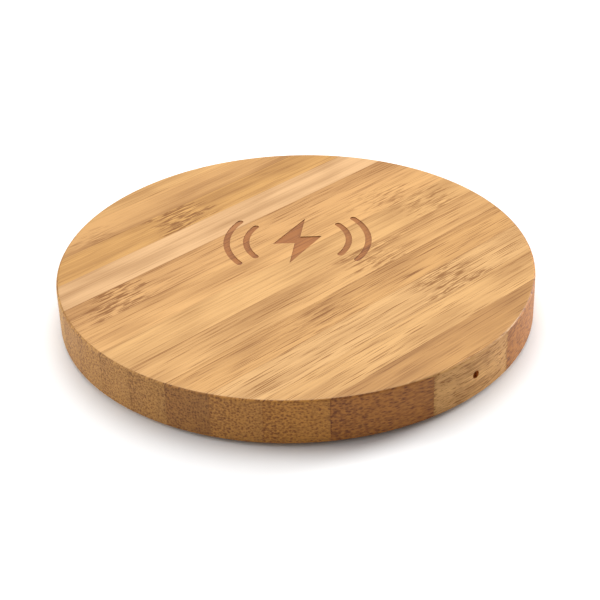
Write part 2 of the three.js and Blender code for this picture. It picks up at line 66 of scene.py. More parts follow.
Tree = bpy.types.NodeTree
Node = bpy.types.Node
Socket = bpy.types.NodeSocket
Material = bpy.types.Material
Object = bpy.types.Object
Mesh = bmesh.types.BMesh
Outline = Sequence[tuple[float, float]]
Colour = tuple[float, float, float, float]


# ---- Nodes and colours ----


def linear(hex_colour: str) -> Colour:
    """Turns an sRGB hex colour into the linear colour that a shader socket holds.

    Args:
        hex_colour: the colour as "#rrggbb".

    Returns:
        Red, green, blue and an alpha of 1.
    """
    shares = [int(hex_colour[i : i + 2], 16) / 255 for i in (1, 3, 5)]
    rgb = [s / 12.92 if s <= 0.04045 else ((s + 0.055) / 1.055) ** 2.4 for s in shares]
    return (rgb[0], rgb[1], rgb[2], 1.0)


def grey(value: float) -> Colour:
    """A linear grey."""
    return (value, value, value, 1.0)


def add_node(
    tree: Tree, kind: str, inputs: dict[int | str, Any] | None = None, **settings: Any
) -> Node:
    """Adds one node with its settings and links.

    Args:
        tree: the node tree.
        kind: the node's type without its "ShaderNode" prefix.
        inputs: what goes into each input, by place or name: a node, whose first output is
            linked, a socket, or a plain value.
        settings: the node's own properties.

    Returns:
        The new node.
    """
    node = tree.nodes.new("ShaderNode" + kind)
    for name, value in settings.items():
        setattr(node, name, value)
    for key, value in (inputs or {}).items():
        source = value.outputs[0] if isinstance(value, Node) else value
        if isinstance(source, Socket):
            tree.links.new(source, node.inputs[key])
        else:
            node.inputs[key].default_value = source
    return node


def start_material(name: str) -> tuple[Material, Tree, Node]:
    """Starts a node material.

    Args:
        name: the material's name.

    Returns:
        The material, its node tree and its Principled shader.
    """
    material = bpy.data.materials.new(name)
    material.use_nodes = True
    tree = material.node_tree
    return material, tree, tree.nodes["Principled BSDF"]


# ---- Laminated bamboo ----


class Burn(Enum):
    """What the laser leaves of a bamboo surface's tone."""

    NONE = "#ffffff"
    ENGRAVED = "#ccaa84"
    SCORCHED = "#ffc890"


@dataclass(frozen=True)
class Strip:
    """One glued strip of bamboo.

    Attributes:
        face: tone of its long grain.
        end: tone of its end grain.
        node_x: where a growth node crosses it, in mm along the grain.
        node_strength: how plainly that node shows, from 0 to 1.
        hairs: how many thin dark fibres it has, from 0 to 1.
        shade: 1 if it deepens towards +Y, -1 if towards -Y.
    """

    face: str
    end: str
    node_x: float = 0.0
    node_strength: float = 0.0
    hairs: float = 0.3
    shade: float = 0.2


@dataclass(frozen=True)
class Grain:
    """Where a point lies in the laminated bamboo, and the patterns that follow from that.

    Attributes:
        tree: the node tree.
        along: distance along the grain, in mm.
        number: the strip's number.
        share: how far across the strip, from 0 at -Y to 1 at +Y.
        stem: place in the strip's own stem, in mm.
        normal: the surface's normal.
        node_x: where the strip's growth node is, from 0 to 1 over the reach.
        node_strength: how plainly that node shows.
        shade: how the strip deepens across it, from 0 to 1 with 0.5 for not at all.
        hairs: how many thin dark fibres the strip has.
        reach: how far along X a growth node may be, in mm.
    """

    tree: Tree
    along: Socket
    number: Node
    share: Node
    stem: Node
    normal: Socket
    node_x: Socket
    node_strength: Socket
    shade: Socket
    hairs: Socket
    reach: float

    def add(self, kind: str, inputs: dict[int | str, Any], **settings: Any) -> Node:
        """Adds a node to the grain's own tree, as add_node does."""
        return add_node(self.tree, kind, inputs, **settings)

    def fibres(self, width: float, length: float, detail: float = 2.0) -> Node:
        """Noise drawn out along the grain.

        Args:
            width: usual width of a streak, in mm.
            length: usual length of a streak, in mm.
            detail: how many finer layers it has.

        Returns:
            The noise node.
        """
        scale = (1 / length, 1 / width, 1 / width)
        drawn = self.add("VectorMath", {0: self.stem, 1: scale}, operation="MULTIPLY")
        look = {"Vector": drawn, "Scale": 1.0, "Detail": detail, "Roughness": 0.55}
        return self.add("TexNoise", look)

    def streaks(
        self,
        size: tuple[float, float],
        span: tuple[float, float],
        tones: tuple[float, float] = (0.0, 1.0),
        detail: float = 2.0,
    ) -> Node:
        """Draws streaks along the grain with the contrast of real ones.

        Args:
            size: usual width and length of a streak, in mm.
            span: the noise up to which there is no streak, and from which it is full.
            tones: what comes out where there is no streak, and where it is full.
            detail: how many finer layers the noise has.

        Returns:
            The streaks.
        """
        noise = self.fibres(*size, detail)
        return self.add("MapRange", dict(enumerate((noise, *span, *tones))))

    def off_middle(self) -> Node:
        """How far a point is from its strip's middle, from -0.5 to 0.5."""
        return self.add("Math", {0: self.share, 1: 0.5}, operation="SUBTRACT")

    def growth_nodes(self) -> Node:
        """Finds the bands where a growth node crosses a strip, with wandering edges.

        Returns:
            Node that is 1 in the middle of a plain growth node and 0 away from it.
        """
        middle = self.add("MapRange", {0: self.node_x, 3: -self.reach, 4: self.reach})
        wander = self.streaks((0.9, 14.0), (0.3, 0.7), (-6.0, 6.0))
        away = self.add("Math", {0: self.along, 1: middle}, operation="SUBTRACT")
        away = self.add("Math", {0: away, 1: wander}, operation="ADD")
        away = self.add("Math", {0: away}, operation="ABSOLUTE")
        # The band is plain up to 2 mm from its middle and gone at 8 mm
        near = self.add("MapRange", {0: away, 1: 8.0, 2: 2.0}, interpolation_type="SMOOTHSTEP")
        return self.add("Math", {0: near, 1: self.node_strength}, operation="MULTIPLY")

    def bundles(self, pitch: float) -> Node:
        """Draws the fibre bundles, crowded on each strip's outer side at +Y.

        Args:
            pitch: distance between fibre bundles, in mm.

        Returns:
            Node that is 1 inside a bundle and 0 outside it.
        """
        _, across, height = self.add("SeparateXYZ", {0: self.stem}).outputs
        section = self.add("CombineXYZ", {0: across, 1: height, 2: 0.0})
        cells = self.add(
            "TexVoronoi",
            {"Vector": section, "Scale": 1 / pitch, "Randomness": 0.8},
            voronoi_dimensions="2D",
        )
        # Half a bundle's width, as a share of the pitch, grows outwards and varies by chance
        size = self.add("MapRange", {0: self.share, 1: 0.1, 2: 1.0, 3: 0.12, 4: 0.4})
        chance = self.add("SeparateColor", {0: cells.outputs["Color"]})
        size = self.add("Math", {0: chance, 1: 0.22, 2: size}, operation="MULTIPLY_ADD")
        inside = self.add("Math", {0: size, 1: cells.outputs["Distance"]}, operation="SUBTRACT")
        span = {0: inside, 1: -0.12, 2: 0.18}
        return self.add("MapRange", span, interpolation_type="SMOOTHSTEP")

    def glue_lines(self, half_width: float) -> Node:
        """Draws the thin glue lines, not equally plain everywhere.

        Args:
            half_width: half of a line's width, as a share of a strip's.

        Returns:
            Node that is 1 on a plain glue line and 0 away from it.
        """
        aside = self.add("Math", {0: self.off_middle()}, operation="ABSOLUTE")
        span = {0: aside, 1: 0.5 - half_width, 2: 0.5}
        near = self.add("MapRange", span, interpolation_type="SMOOTHSTEP")
        patchy = self.streaks((9.0, 24.0), (0.42, 0.62), (0.15, 1.0))
        return self.add("Math", {0: near, 1: patchy}, operation="MULTIPLY")

    def deepen(
        self, tone: Node, tint: str, parts: Sequence[tuple[Node, float]]
    ) -> tuple[Socket, Node]:
        """Darkens a tone by the weighted sum of several patterns.

        Args:
            tone: the plain tone.
            tint: what the tone is multiplied by where the sum is 1.
            parts: patterns and their weights.

        Returns:
            The darkened colour and the sum.
        """
        total: Node | float = 0.0
        for part, weight in parts:
            total = self.add("Math", {0: part, 1: weight, 2: total}, operation="MULTIPLY_ADD")
        deep = self.add(
            "Mix",
            {"Factor": 1.0, "A": tone, "B": linear(tint)},
            data_type="RGBA",
            blend_type="MULTIPLY",
        ).outputs["Result"]
        mixed = self.add("Mix", {"Factor": total, "A": tone, "B": deep}, data_type="RGBA")
        return mixed.outputs["Result"], total


@dataclass(frozen=True)
class LaminatedBamboo:
    """Carbonised bamboo strips glued side by side, sanded and wiped with a thin satin oil.

    The pattern is solid: each fibre bundle is a thread along X, so it shows as a streak on the
    long grain and as a dark dot on the end grain, as in the real plant. The fine fibres are drawn
    coarser than real ones, which would be too fine to show.

    Attributes:
        strip_width: distance between glue lines, in mm.
        first_glue_line: a glue line's place along Y, in mm.
        first_strip: number of the strip nearest -Y.
        stem_step: how far apart two strips' patterns start, in mm.
        bundle_pitch: distance between fibre bundles, in mm.
        glue_width: width of half a glue line, in mm.
        grain_relief: depth of the open grain, in mm.
        end_from: how far the surface leans across the fibres where end grain starts and is full.
    """

    strip_width: float = 8.1
    first_glue_line: float = 2.2
    first_strip: int = -7
    stem_step: float = 31.7
    bundle_pitch: float = 0.5
    glue_width: float = 0.16
    grain_relief: float = 0.05
    end_from: tuple[float, float] = (0.195, 0.215)
    strips: tuple[Strip, ...] = (
        Strip("#cf9b57", "#cf9a55", 0, 0.35, hairs=0.8),
        Strip("#bd8b4d", "#a96b29", 34, 0.25, hairs=0.4),
        Strip("#d1a163", "#b97d32", hairs=0.8),
        Strip("#d1a266", "#b57c36", 16.5, 0.85, hairs=0.9),
        Strip("#c89657", "#9f6b2f", -12, 0.3, hairs=0.8, shade=0.5),
        Strip("#cf9e60", "#ad7b3b", 11.5, 0.7, hairs=0.5, shade=0.4),
        Strip("#d1a163", "#b17f3e", 36, 0.5, hairs=0.3, shade=0.3),
        Strip("#d09e60", "#b2803f", 30, 0.5, hairs=0.4),
        Strip("#c9975b", "#b2803f", -33, 1.0, hairs=0.6, shade=0.4),
        Strip("#d2a674", "#bb8c49", hairs=0.1, shade=0.1),
        Strip("#c4924f", "#b2803f", -4, 1.0, hairs=0.3),
        Strip("#c69559", "#b2803f", -23, 0.35, hairs=0.1, shade=-0.6),
        Strip("#cf9f61", "#b2803f"),
    )

    def per_strip(self, tree: Tree, number: Node, colours: Sequence[Colour]) -> Node:
        """A colour that each strip has to itself.

        Args:
            tree: the node tree.
            number: node that gives the strip's number.
            colours: one linear colour for each strip, from -Y to +Y.

        Returns:
            The colour ramp node.
        """
        count = len(colours)
        share = add_node(tree, "Math", {0: number, 1: 0.5 - self.first_strip}, operation="ADD")
        share = add_node(tree, "Math", {0: share, 1: 1 / count}, operation="MULTIPLY")
        node = add_node(tree, "ValToRGB", {0: share})
        ramp = node.color_ramp
        ramp.interpolation = "CONSTANT"
        while len(ramp.elements) < count:
            ramp.elements.new(1.0)
        for i, (element, colour) in enumerate(zip(ramp.elements, colours)):
            element.position = i / count
            element.color = colour
        return node

    def grain(self, tree: Tree) -> Grain:
        """Works out which strip a point is on and where it lies in that strip's stem.

        Args:
            tree: the node tree.

        Returns:
            The nodes and sockets that the patterns are drawn on.
        """
        add = functools.partial(add_node, tree)
        place = add("TexCoord").outputs
        in_mm = add("VectorMath", {0: place["Object"], "Scale": 1 / MM}, operation="SCALE")
        along, across, _ = add("SeparateXYZ", {0: in_mm}).outputs
        from_line = add("Math", {0: across, 1: self.first_glue_line}, operation="SUBTRACT")
        strips = add("Math", {0: from_line, 1: self.strip_width}, operation="DIVIDE")
        number = add("Math", {0: strips}, operation="FLOOR")
        share = add("Math", {0: strips}, operation="FRACT")
        # Each strip is cut from another stem, so its pattern starts elsewhere
        start = add("Math", {0: number, 1: self.stem_step}, operation="MULTIPLY")
        start = add("CombineXYZ", {0: start, 1: 0.0, 2: start})
        stem = add("VectorMath", {0: in_mm, 1: start}, operation="ADD")
        reach = 50.0
        facts = [
            ((s.node_x + reach) / (2 * reach), s.node_strength, 0.5 + s.shade / 2, s.hairs)
            for s in self.strips
        ]
        packed = self.per_strip(tree, number, facts)
        parts = (*add("SeparateColor", {0: packed}).outputs, packed.outputs["Alpha"])
        return Grain(tree, along, number, share, stem, place["Normal"], *parts, reach)

    def build(self, burn: Burn = Burn.NONE) -> Material:
        """Makes the material.

        Args:
            burn: how far the laser has burnt the surface.

        Returns:
            The material.
        """
        material, tree, shader = start_material(f"laminated_bamboo_{burn.name.lower()}")
        grain = self.grain(tree)
        face_tone = self.per_strip(tree, grain.number, [linear(s.face) for s in self.strips])
        end_tone = self.per_strip(tree, grain.number, [linear(s.end) for s in self.strips])

        # Long grain: soft broad streaks, fine fibres and a few dark hairs
        broad = grain.streaks((1.7, 60.0), (0.34, 0.68))
        fine = grain.fibres(0.4, 30.0, 3.0)
        fine_dark = grain.add("MapRange", {0: fine, 1: 0.36, 2: 0.7})
        hair = grain.streaks((0.22, 11.0), (0.58, 0.67), detail=1.0)
        hair = grain.add("Math", {0: hair, 1: grain.hairs}, operation="MULTIPLY")
        cloud = grain.streaks((5.0, 18.0), (0.3, 0.7), (-0.5, 0.5), detail=1.0)
        lean = grain.add("MapRange", {0: grain.shade, 3: -1.0, 4: 1.0})
        side = grain.add("Math", {0: grain.off_middle(), 1: lean}, operation="MULTIPLY")

        # At a growth node the fibres break into short dark dashes with pale flecks between
        dash = grain.streaks((0.4, 3.4), (0.4, 0.64), (-0.4, 1.0), detail=3.0)
        dash = grain.add("Math", {0: dash, 1: grain.growth_nodes()}, operation="MULTIPLY")

        glue = grain.glue_lines(self.glue_width / self.strip_width)
        on_face = [(broad, 0.25), (fine_dark, 0.3), (hair, 1.1), (cloud, 0.42), (side, 0.7)]
        on_face += [(dash, 1.15), (glue, 0.6)]
        face, face_dark = grain.deepen(face_tone, "#ac9463", on_face)

        # End grain: dark bundles in paler tissue that is mottled from piece to piece
        bundle = grain.bundles(self.bundle_pitch)
        mottle = grain.streaks((0.45, 40.0), (0.36, 0.64), (-0.4, 1.0), detail=3.0)
        inner = grain.add("MapRange", {0: grain.share, 1: 0.45, 2: 0.0})
        on_end = [(bundle, 0.46), (mottle, 0.42), (inner, 0.12), (glue, 0.3)]
        end, _ = grain.deepen(end_tone, "#8c6a2c", on_end)

        # The end grain shows where the surface cuts across the fibres
        across = grain.add("SeparateXYZ", {0: grain.normal})
        across = grain.add("Math", {0: across}, operation="ABSOLUTE")
        starts, full = self.end_from
        span = {0: across, 1: starts, 2: full}
        is_end = grain.add("MapRange", span, interpolation_type="SMOOTHSTEP")
        wood = grain.add("Mix", {"Factor": is_end, "A": face, "B": end}, data_type="RGBA")
        burnt = grain.add(
            "Mix",
            {"Factor": 1.0, "A": wood.outputs["Result"], "B": linear(burn.value)},
            data_type="RGBA",
            blend_type="MULTIPLY",
        )
        tree.links.new(burnt.outputs["Result"], shader.inputs["Base Color"])

        # Sanded and oiled: satin on the face, duller on the open ends of the fibres
        dull = grain.add("Math", {0: is_end, 1: 0.14, 2: 0.48}, operation="MULTIPLY_ADD")
        rough = grain.add("Math", {0: face_dark, 1: 0.1, 2: dull}, operation="MULTIPLY_ADD")
        tree.links.new(rough.outputs[0], shader.inputs["Roughness"])
        shader.inputs["Specular IOR Level"].default_value = 0.4
        relief = grain.add("Math", {0: bundle, 1: -0.5, 2: fine}, operation="MULTIPLY_ADD")
        open_grain = {"Height": relief, "Distance": self.grain_relief * MM, "Strength": 0.6}
        bump = grain.add("Bump", open_grain)
        tree.links.new(bump.outputs[0], shader.inputs["Normal"])
        return material


# ---- Other finishes ----


class Pattern(Enum):
    """What a surface's small marks look like."""

    GRIT = "noise"
    CELLS = "round cells"
    THREADS = "crossed threads"


@dataclass(frozen=True)
class SurfaceFinish:
    """A made surface with one small pattern over it.

    Attributes:
        name: the real material.
        tone: sRGB colour between the marks.
        mark: sRGB colour of the marks.
        roughness: roughness between the marks and on them.
        size: size of one mark, in mm.
        relief: depth of the marks, in mm.
        stretch: how many times longer a mark is along X, Y and Z.
        constants: the shader's own sockets that differ from their defaults.
    """

    name: str
    tone: str
    mark: str
    roughness: tuple[float, float]
    size: float
    relief: float
    pattern: Pattern = Pattern.GRIT
    stretch: tuple[float, float, float] = (1.0, 1.0, 1.0)
    constants: tuple[tuple[str, float], ...] = ()

    def marks(self, tree: Tree) -> Node:
        """Draws the marks.

        Args:
            tree: the node tree.

        Returns:
            Node that runs from 0 between the marks to 1 on them.
        """
        add = functools.partial(add_node, tree)
        scale = [1 / (self.size * longer * MM) for longer in self.stretch]
        place = add("TexCoord").outputs["Object"]
        place = add("VectorMath", {0: place, 1: scale}, operation="MULTIPLY")
        if self.pattern is Pattern.CELLS:
            cells = add("TexVoronoi", {"Vector": place, "Scale": 1.0})
            return add("MapRange", {0: cells.outputs["Distance"], 1: 0.2, 2: 0.7})
        if self.pattern is Pattern.THREADS:
            warp, weft, _ = add("SeparateXYZ", {0: place}).outputs
            warp = add("Math", {0: warp, 1: 1.0}, operation="PINGPONG")
            weft = add("Math", {0: weft, 1: 1.0}, operation="PINGPONG")
            return add("Math", {0: warp, 1: weft}, operation="MULTIPLY")
        noise = add("TexNoise", {"Vector": place, "Scale": 1.0, "Detail": 3.0})
        return add("MapRange", {0: noise, 1: 0.3, 2: 0.7})

    @functools.cache
    def build(self) -> Material:
        """Makes the material, once.

        Returns:
            The material.
        """
        material, tree, shader = start_material(self.name)
        marks = self.marks(tree)
        tones = {"Factor": marks, "A": linear(self.tone), "B": linear(self.mark)}
        colour = add_node(tree, "Mix", tones, data_type="RGBA")
        low, high = self.roughness
        rough = add_node(tree, "MapRange", {0: marks, 3: low, 4: high})
        bump = add_node(tree, "Bump", {"Height": marks, "Distance": self.relief * MM})
        tree.links.new(colour.outputs["Result"], shader.inputs["Base Color"])
        tree.links.new(rough.outputs[0], shader.inputs["Roughness"])
        tree.links.new(bump.outputs[0], shader.inputs["Normal"])
        for socket, value in self.constants:
            shader.inputs[socket].default_value = value
        return material


METAL = (("Metallic", 1.0),)
SOFT_SHEEN = (("Sheen Weight", 0.2),)
# Spark-eroded mould: an even satin grit, drawn coarser than the real 0.1 mm so that it shows
MOULDED_ABS = SurfaceFinish("moulded_abs", "#1b1b1d", "#26262a", (0.48, 0.62), 0.3, 0.02)
# Soft and slightly dusty: a wide dull sheen with no sharp highlight
SILICONE_RUBBER = SurfaceFinish(
    "silicone_rubber", "#242528", "#303136", (0.7, 0.85), 0.5, 0.015, constants=SOFT_SHEEN
)
# Barrel plating: bright and faintly cloudy
ZINC_PLATE = SurfaceFinish(
    "zinc_plated_steel", "#c3c6ca", "#a3a7b0", (0.24, 0.4), 0.9, 0.004, constants=METAL
)
# Rolled and tinned strip: soft highlights drawn out along the rolling
TIN_PLATE = SurfaceFinish(
    "tin_plated_steel",
    "#cccdcf",
    "#b2b4b8",
    (0.22, 0.36),
    0.12,
    0.003,
    stretch=(1, 14, 1),
    constants=METAL,
)
# Thin gold over nickel: warm and bright, with faint lines from the stamping
GOLD_PLATE = SurfaceFinish(
    "gold_plated_bronze",
    "#e5b95f",
    "#cf9d42",
    (0.16, 0.3),
    0.2,
    0.002,
    stretch=(1, 8, 1),
    constants=METAL,
)
# Levelled solder: shiny, with a slight orange peel
SOLDER_FINISH = SurfaceFinish(
    "levelled_solder", "#d0d2d4", "#b9bdc2", (0.18, 0.34), 0.6, 0.01, constants=METAL
)
# The mask lets the laminate's weave show faintly through a glossy green
SOLDER_MASK = SurfaceFinish(
    "solder_mask_on_glass_laminate",
    "#1c5836",
    "#256b43",
    (0.28, 0.36),
    0.45,
    0.004,
    Pattern.THREADS,
    constants=(("Coat Weight", 0.4), ("Coat Roughness", 0.15)),
)
# Pressed and sintered powder: matt dark grey with fine pores
FERRITE = SurfaceFinish("sintered_ferrite", "#3d3e43", "#2a2b2f", (0.55, 0.75), 0.35, 0.02)
# Open cell walls painted paler round hollows painted darker: painted light on the walls and
# painted shade in the hollows
FOAM = SurfaceFinish(
    "polyurethane_foam",
    "#25262a",
    "#3a3b41",
    (0.85, 0.95),
    0.55,
    0.12,
    Pattern.CELLS,
    constants=(("Sheen Weight", 0.3),),
)
# Pale acrylic adhesive on a film: milky, with tiny trapped bubbles
TRANSFER_TAPE = SurfaceFinish(
    "adhesive_transfer_tape", "#d8d2bf", "#cdc6b0", (0.3, 0.5), 0.8, 0.006, Pattern.CELLS
)
# Glass-filled and moulded: dark with faint flow lines
GLASS_FILLED_NYLON = SurfaceFinish(
    "glass_filled_nylon", "#18181a", "#232327", (0.4, 0.55), 0.15, 0.006, stretch=(1, 6, 1)
)
# Clear moulding with a slight haze that softens what is seen through it
CLEAR_ACRYLIC = SurfaceFinish(
    "clear_acrylic",
    "#f4f7f8",
    "#e9eef0",
    (0.03, 0.12),
    0.8,
    0.004,
    constants=(("Transmission Weight", 0.9), ("IOR", 1.49)),
)
# Epoxy with white filler: even, milky and smooth
DIFFUSING_EPOXY = SurfaceFinish(
    "diffusing_epoxy", "#f5f2de", "#e8e3c6", (0.2, 0.32), 0.25, 0.003, constants=(("IOR", 1.53),)
)
# Black moulding compound: matt, with silica grit
MOULDING_EPOXY = SurfaceFinish(
    "chip_moulding_epoxy", "#202125", "#2d2e33", (0.5, 0.68), 0.12, 0.008
)
# Yellow moulding compound: a finer grit with a satin skin
YELLOW_EPOXY = SurfaceFinish(
    "yellow_moulding_epoxy", "#d89631", "#c6831f", (0.35, 0.5), 0.15, 0.006
)
# Ink burnt on by laser: a flat dark band with the same satin skin
BROWN_EPOXY = SurfaceFinish(
    "printed_polarity_band", "#7a4a16", "#6a3d10", (0.35, 0.5), 0.15, 0.004
)
# Fired titanate: tan, matt and slightly speckled
FIRED_CERAMIC = SurfaceFinish("fired_ceramic", "#ab8d67", "#957650", (0.45, 0.6), 0.2, 0.008)
# Glass over the resistive film: near black and shiny
GLASS_GLAZE = SurfaceFinish("glass_glazed_film", "#1c1d21", "#2a2b31", (0.14, 0.26), 0.3, 0.004)


@dataclass(frozen=True)
class LitzCopper:
    """Enamelled copper strands twisted into round wire.

    The strands lean round the wire, which gives it fine slanting lines and a broken highlight. The
    grooves between the strands are painted darker, as painted shade.

    Attributes:
        strand: length of the twist that one strand takes to go by, in mm.
        lean: how far a strand leans, as length along the wire for each length across it.
        relief: depth of the grooves between strands, in mm.
    """

    strand: float = 0.55
    lean: float = 1.6
    relief: float = 0.03

    @functools.cache
    def build(self) -> Material:
        """Makes the material, once.

        Returns:
            The material.
        """
        material, tree, shader = start_material("enamelled_litz_copper")
        add = functools.partial(add_node, tree)
        place = add("TexCoord").outputs["Object"]
        in_mm = add("VectorMath", {0: place, "Scale": 1 / MM}, operation="SCALE")
        x, y, z = add("SeparateXYZ", {0: in_mm}).outputs
        flat = add("CombineXYZ", {0: x, 1: y})
        radius = add("VectorMath", {0: flat}, operation="LENGTH").outputs["Value"]
        turn = add("Math", {0: y, 1: x}, operation="ARCTAN2")
        run = add("Math", {0: turn, 1: radius}, operation="MULTIPLY")
        across = add("Math", {0: radius, 1: z}, operation="ADD")
        twist = add("Math", {0: across, 1: self.lean, 2: run}, operation="MULTIPLY_ADD")
        strands = add("Math", {0: twist, 1: self.strand / 2}, operation="PINGPONG")
        strands = add("MapRange", {0: strands, 2: self.strand / 2})
        # Dark in the grooves between strands and bright on their crests: painted shade in the
        # grooves
        tones = {"Factor": strands, "A": linear("#7c3f1b"), "B": linear("#cf7c40")}
        colour = add("Mix", tones, data_type="RGBA")
        rough = add("MapRange", {0: strands, 3: 0.5, 4: 0.28})
        bump = add("Bump", {"Height": strands, "Distance": self.relief * MM})
        tree.links.new(colour.outputs["Result"], shader.inputs["Base Color"])
        tree.links.new(rough.outputs[0], shader.inputs["Roughness"])
        tree.links.new(bump.outputs[0], shader.inputs["Normal"])
        shader.inputs["Metallic"].default_value = 0.9
        return material


# ---- Meshes and objects ----


def revolve(profile: Outline, segments: int) -> Mesh:
    """Spins a profile right round Z.

    Args:
        profile: points as radius and height, from the axis back to the axis.
        segments: how many steps make the turn.

    Returns:
        A new closed mesh with its faces outwards.
    """
    bm = bmesh.new()
    points = [bm.verts.new((radius, 0.0, height)) for radius, height in profile]
    edges = [bm.edges.new(pair) for pair in zip(points, points[1:])]
    bmesh.ops.spin(
        bm,
        geom=points + edges,
        cent=(0, 0, 0),
        axis=UP,
        angle=FULL_TURN,
        steps=segments,
        use_merge=True,
    )
    bmesh.ops.remove_doubles(bm, verts=bm.verts[:], dist=SAME)
    bmesh.ops.recalc_face_normals(bm, faces=bm.faces[:])
    return bm


def rounded(radius: float, ease: float, steps: int) -> list[tuple[float, float]]:
    """Points round an edge, from the side inwards.

    Args:
        radius: radius of the side.
        ease: radius of the rounding.
        steps: how many steps make it.

    Returns:
        Each point's radius and its distance from the face that the edge rounds off.
    """
    angles = [i * math.pi / 2 / steps for i in range(steps + 1)]
    return [(radius - ease * (1 - math.cos(a)), ease * (1 - math.sin(a))) for a in angles]


def points_of(geom: Sequence[Any]) -> list[bmesh.types.BMVert]:
    """The vertices in an operator's output."""
    return [g for g in geom if isinstance(g, bmesh.types.BMVert)]


def push_out(bm: Mesh, by: Sequence[float]) -> None:
    """Makes a solid of a flat mesh by pushing a copy of it away.

    Args:
        bm: the flat mesh.
        by: how far the copy is pushed.
    """
    pushed = bmesh.ops.extrude_face_region(bm, geom=bm.faces[:])
    bmesh.ops.translate(bm, verts=points_of(pushed["geom"]), vec=by)
    bmesh.ops.recalc_face_normals(bm, faces=bm.faces[:])


def finish_faces(bm: Mesh, sharp_from: float = 30.0) -> None:
    """Turns faces outwards and smooths them, with sharp edges kept sharp.

    Args:
        bm: the mesh.
        sharp_from: angle in degrees from which an edge is sharp.
    """
    bmesh.ops.dissolve_degenerate(bm, edges=bm.edges[:], dist=SAME)
    bmesh.ops.recalc_face_normals(bm, faces=bm.faces[:])
    for face in bm.faces:
        face.smooth = True
    limit = math.radians(sharp_from)
    for edge in bm.edges:
        edge.smooth = len(edge.link_faces) == 2 and edge.calc_face_angle(0.0) < limit


def add_block(
    bm: Mesh,
    low: Sequence[float],
    high: Sequence[float],
    ease: float = 0.0,
    draft: float = 0.0,
    finish: int = 0,
) -> None:
    """Adds a block, as moulded or pressed in two halves.

    Args:
        bm: the mesh that is added to.
        low: its lowest corner.
        high: its highest corner.
        ease: radius of its edges.
        draft: how much its waist stands out beyond its top and bottom, each side.
        finish: index of its material.
    """
    low, high = Vector(low), Vector(high)
    middle, size = (low + high) / 2, high - low
    known = set(bm.faces)
    made = bmesh.ops.create_cube(bm, size=1.0, matrix=Matrix.LocRotScale(middle, None, size))
    if draft:
        new_faces = [f for f in bm.faces if f not in known]
        geom = new_faces + made["verts"] + list({e for f in new_faces for e in f.edges})
        bmesh.ops.bisect_plane(bm, geom=geom, plane_co=middle, plane_no=UP)
        share = [1 - 2 * draft / size.x, 1 - 2 * draft / size.y, 1.0]
        for level in (low.z, high.z):
            verts = [v for v in made["verts"] if abs(v.co.z - level) < SAME]
            bmesh.ops.scale(bm, vec=share, verts=verts, space=Matrix.Translation(-middle))
    if ease:
        edges = list({e for f in bm.faces if f not in known for e in f.edges})
        bmesh.ops.bevel(
            bm,
            geom=edges,
            offset=ease,
            affect="EDGES",
            segments=2,
            profile=0.5,
            material=-1,
            clamp_overlap=True,
        )
    for face in bm.faces:
        if face not in known:
            face.material_index = finish


def add_peg(
    bm: Mesh,
    base: Sequence[float],
    height: float,
    radius: float,
    segments: int = 28,
    taper: float = 0.0,
) -> None:
    """Adds an upright round peg.

    Args:
        bm: the mesh that is added to.
        base: the middle of its lower end.
        height: how tall it is.
        radius: its radius at the lower end.
        segments: how many sides it has.
        taper: how much smaller its radius is at the upper end.
    """
    bmesh.ops.create_cone(
        bm,
        cap_ends=True,
        segments=segments,
        radius1=radius,
        radius2=radius - taper,
        depth=height,
        matrix=Matrix.Translation(Vector(base) + UP * (height / 2)),
    )


def shift(bm: Mesh, place: Sequence[float], turn: float = 0.0) -> Mesh:
    """Turns a whole mesh about Z and then moves it.

    Args:
        bm: the mesh.
        place: how far it moves.
        turn: angle in radians.

    Returns:
        The same mesh.
    """
    matrix = Matrix.Translation(Vector(place)) @ Matrix.Rotation(turn, 4, "Z")
    bmesh.ops.transform(bm, matrix=matrix, verts=bm.verts[:])
    return bm


def add_mesh(bm: Mesh, other: Mesh) -> None:
    """Adds another mesh to one, and frees the other.

    Args:
        bm: the mesh that is added to.
        other: the mesh that is used up.
    """
    mesh = bpy.data.meshes.new("passed_on")
    other.to_mesh(mesh)
    other.free()
    bm.from_mesh(mesh)
    bpy.data.meshes.remove(mesh)


def make_object(name: str, bm: Mesh, *materials: Material) -> Object:
    """Makes an object of a bmesh and frees the bmesh.

    Args:
        name: the object's name.
        bm: its mesh.
        materials: its materials, by face index.

    Returns:
        The object, at the origin.
    """
    mesh = bpy.data.meshes.new(name)
    bm.to_mesh(mesh)
    bm.free()
    for material in materials:
        mesh.materials.append(material)
    piece = bpy.data.objects.new(name, mesh)
    bpy.context.scene.collection.objects.link(piece)
    return piece


def combine(piece: Object, tools: Sequence[Object], operation: str = "DIFFERENCE") -> None:
    """Cuts tools out of a piece, or joins them to it, one after another, and removes them.

    Args:
        piece: what is worked on.
        tools: the tools. Their materials stay on the faces that they leave.
        operation: the Boolean modifier's operation.
    """
    for tool in tools:
        modifier = piece.modifiers.new("tool", "BOOLEAN")
        modifier.operation = operation
        modifier.solver = "EXACT"
        modifier.material_mode = "TRANSFER"
        modifier.object = tool
        bpy.context.view_layer.update()
        evaluated = piece.evaluated_get(bpy.context.evaluated_depsgraph_get())
        cut_mesh = bpy.data.meshes.new_from_object(evaluated)
        piece.modifiers.clear()
        old = piece.data
        piece.data = cut_mesh
        bpy.data.meshes.remove(old)
        bpy.data.objects.remove(tool)
    bm = bmesh.new()
    bm.from_mesh(piece.data)
    finish_faces(bm)
    bm.to_mesh(piece.data)
    bm.free()


def mount(piece: Object, slot: str, *nodes: str) -> None:
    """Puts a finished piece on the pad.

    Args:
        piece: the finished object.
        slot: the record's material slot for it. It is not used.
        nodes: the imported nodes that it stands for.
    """
    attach(piece, "root")
    if nodes:
        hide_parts(*nodes)
    faces = len(piece.data.polygons)
    log.info("%s: %d faces, for %s", piece.name, faces, ", ".join(nodes) or "itself")


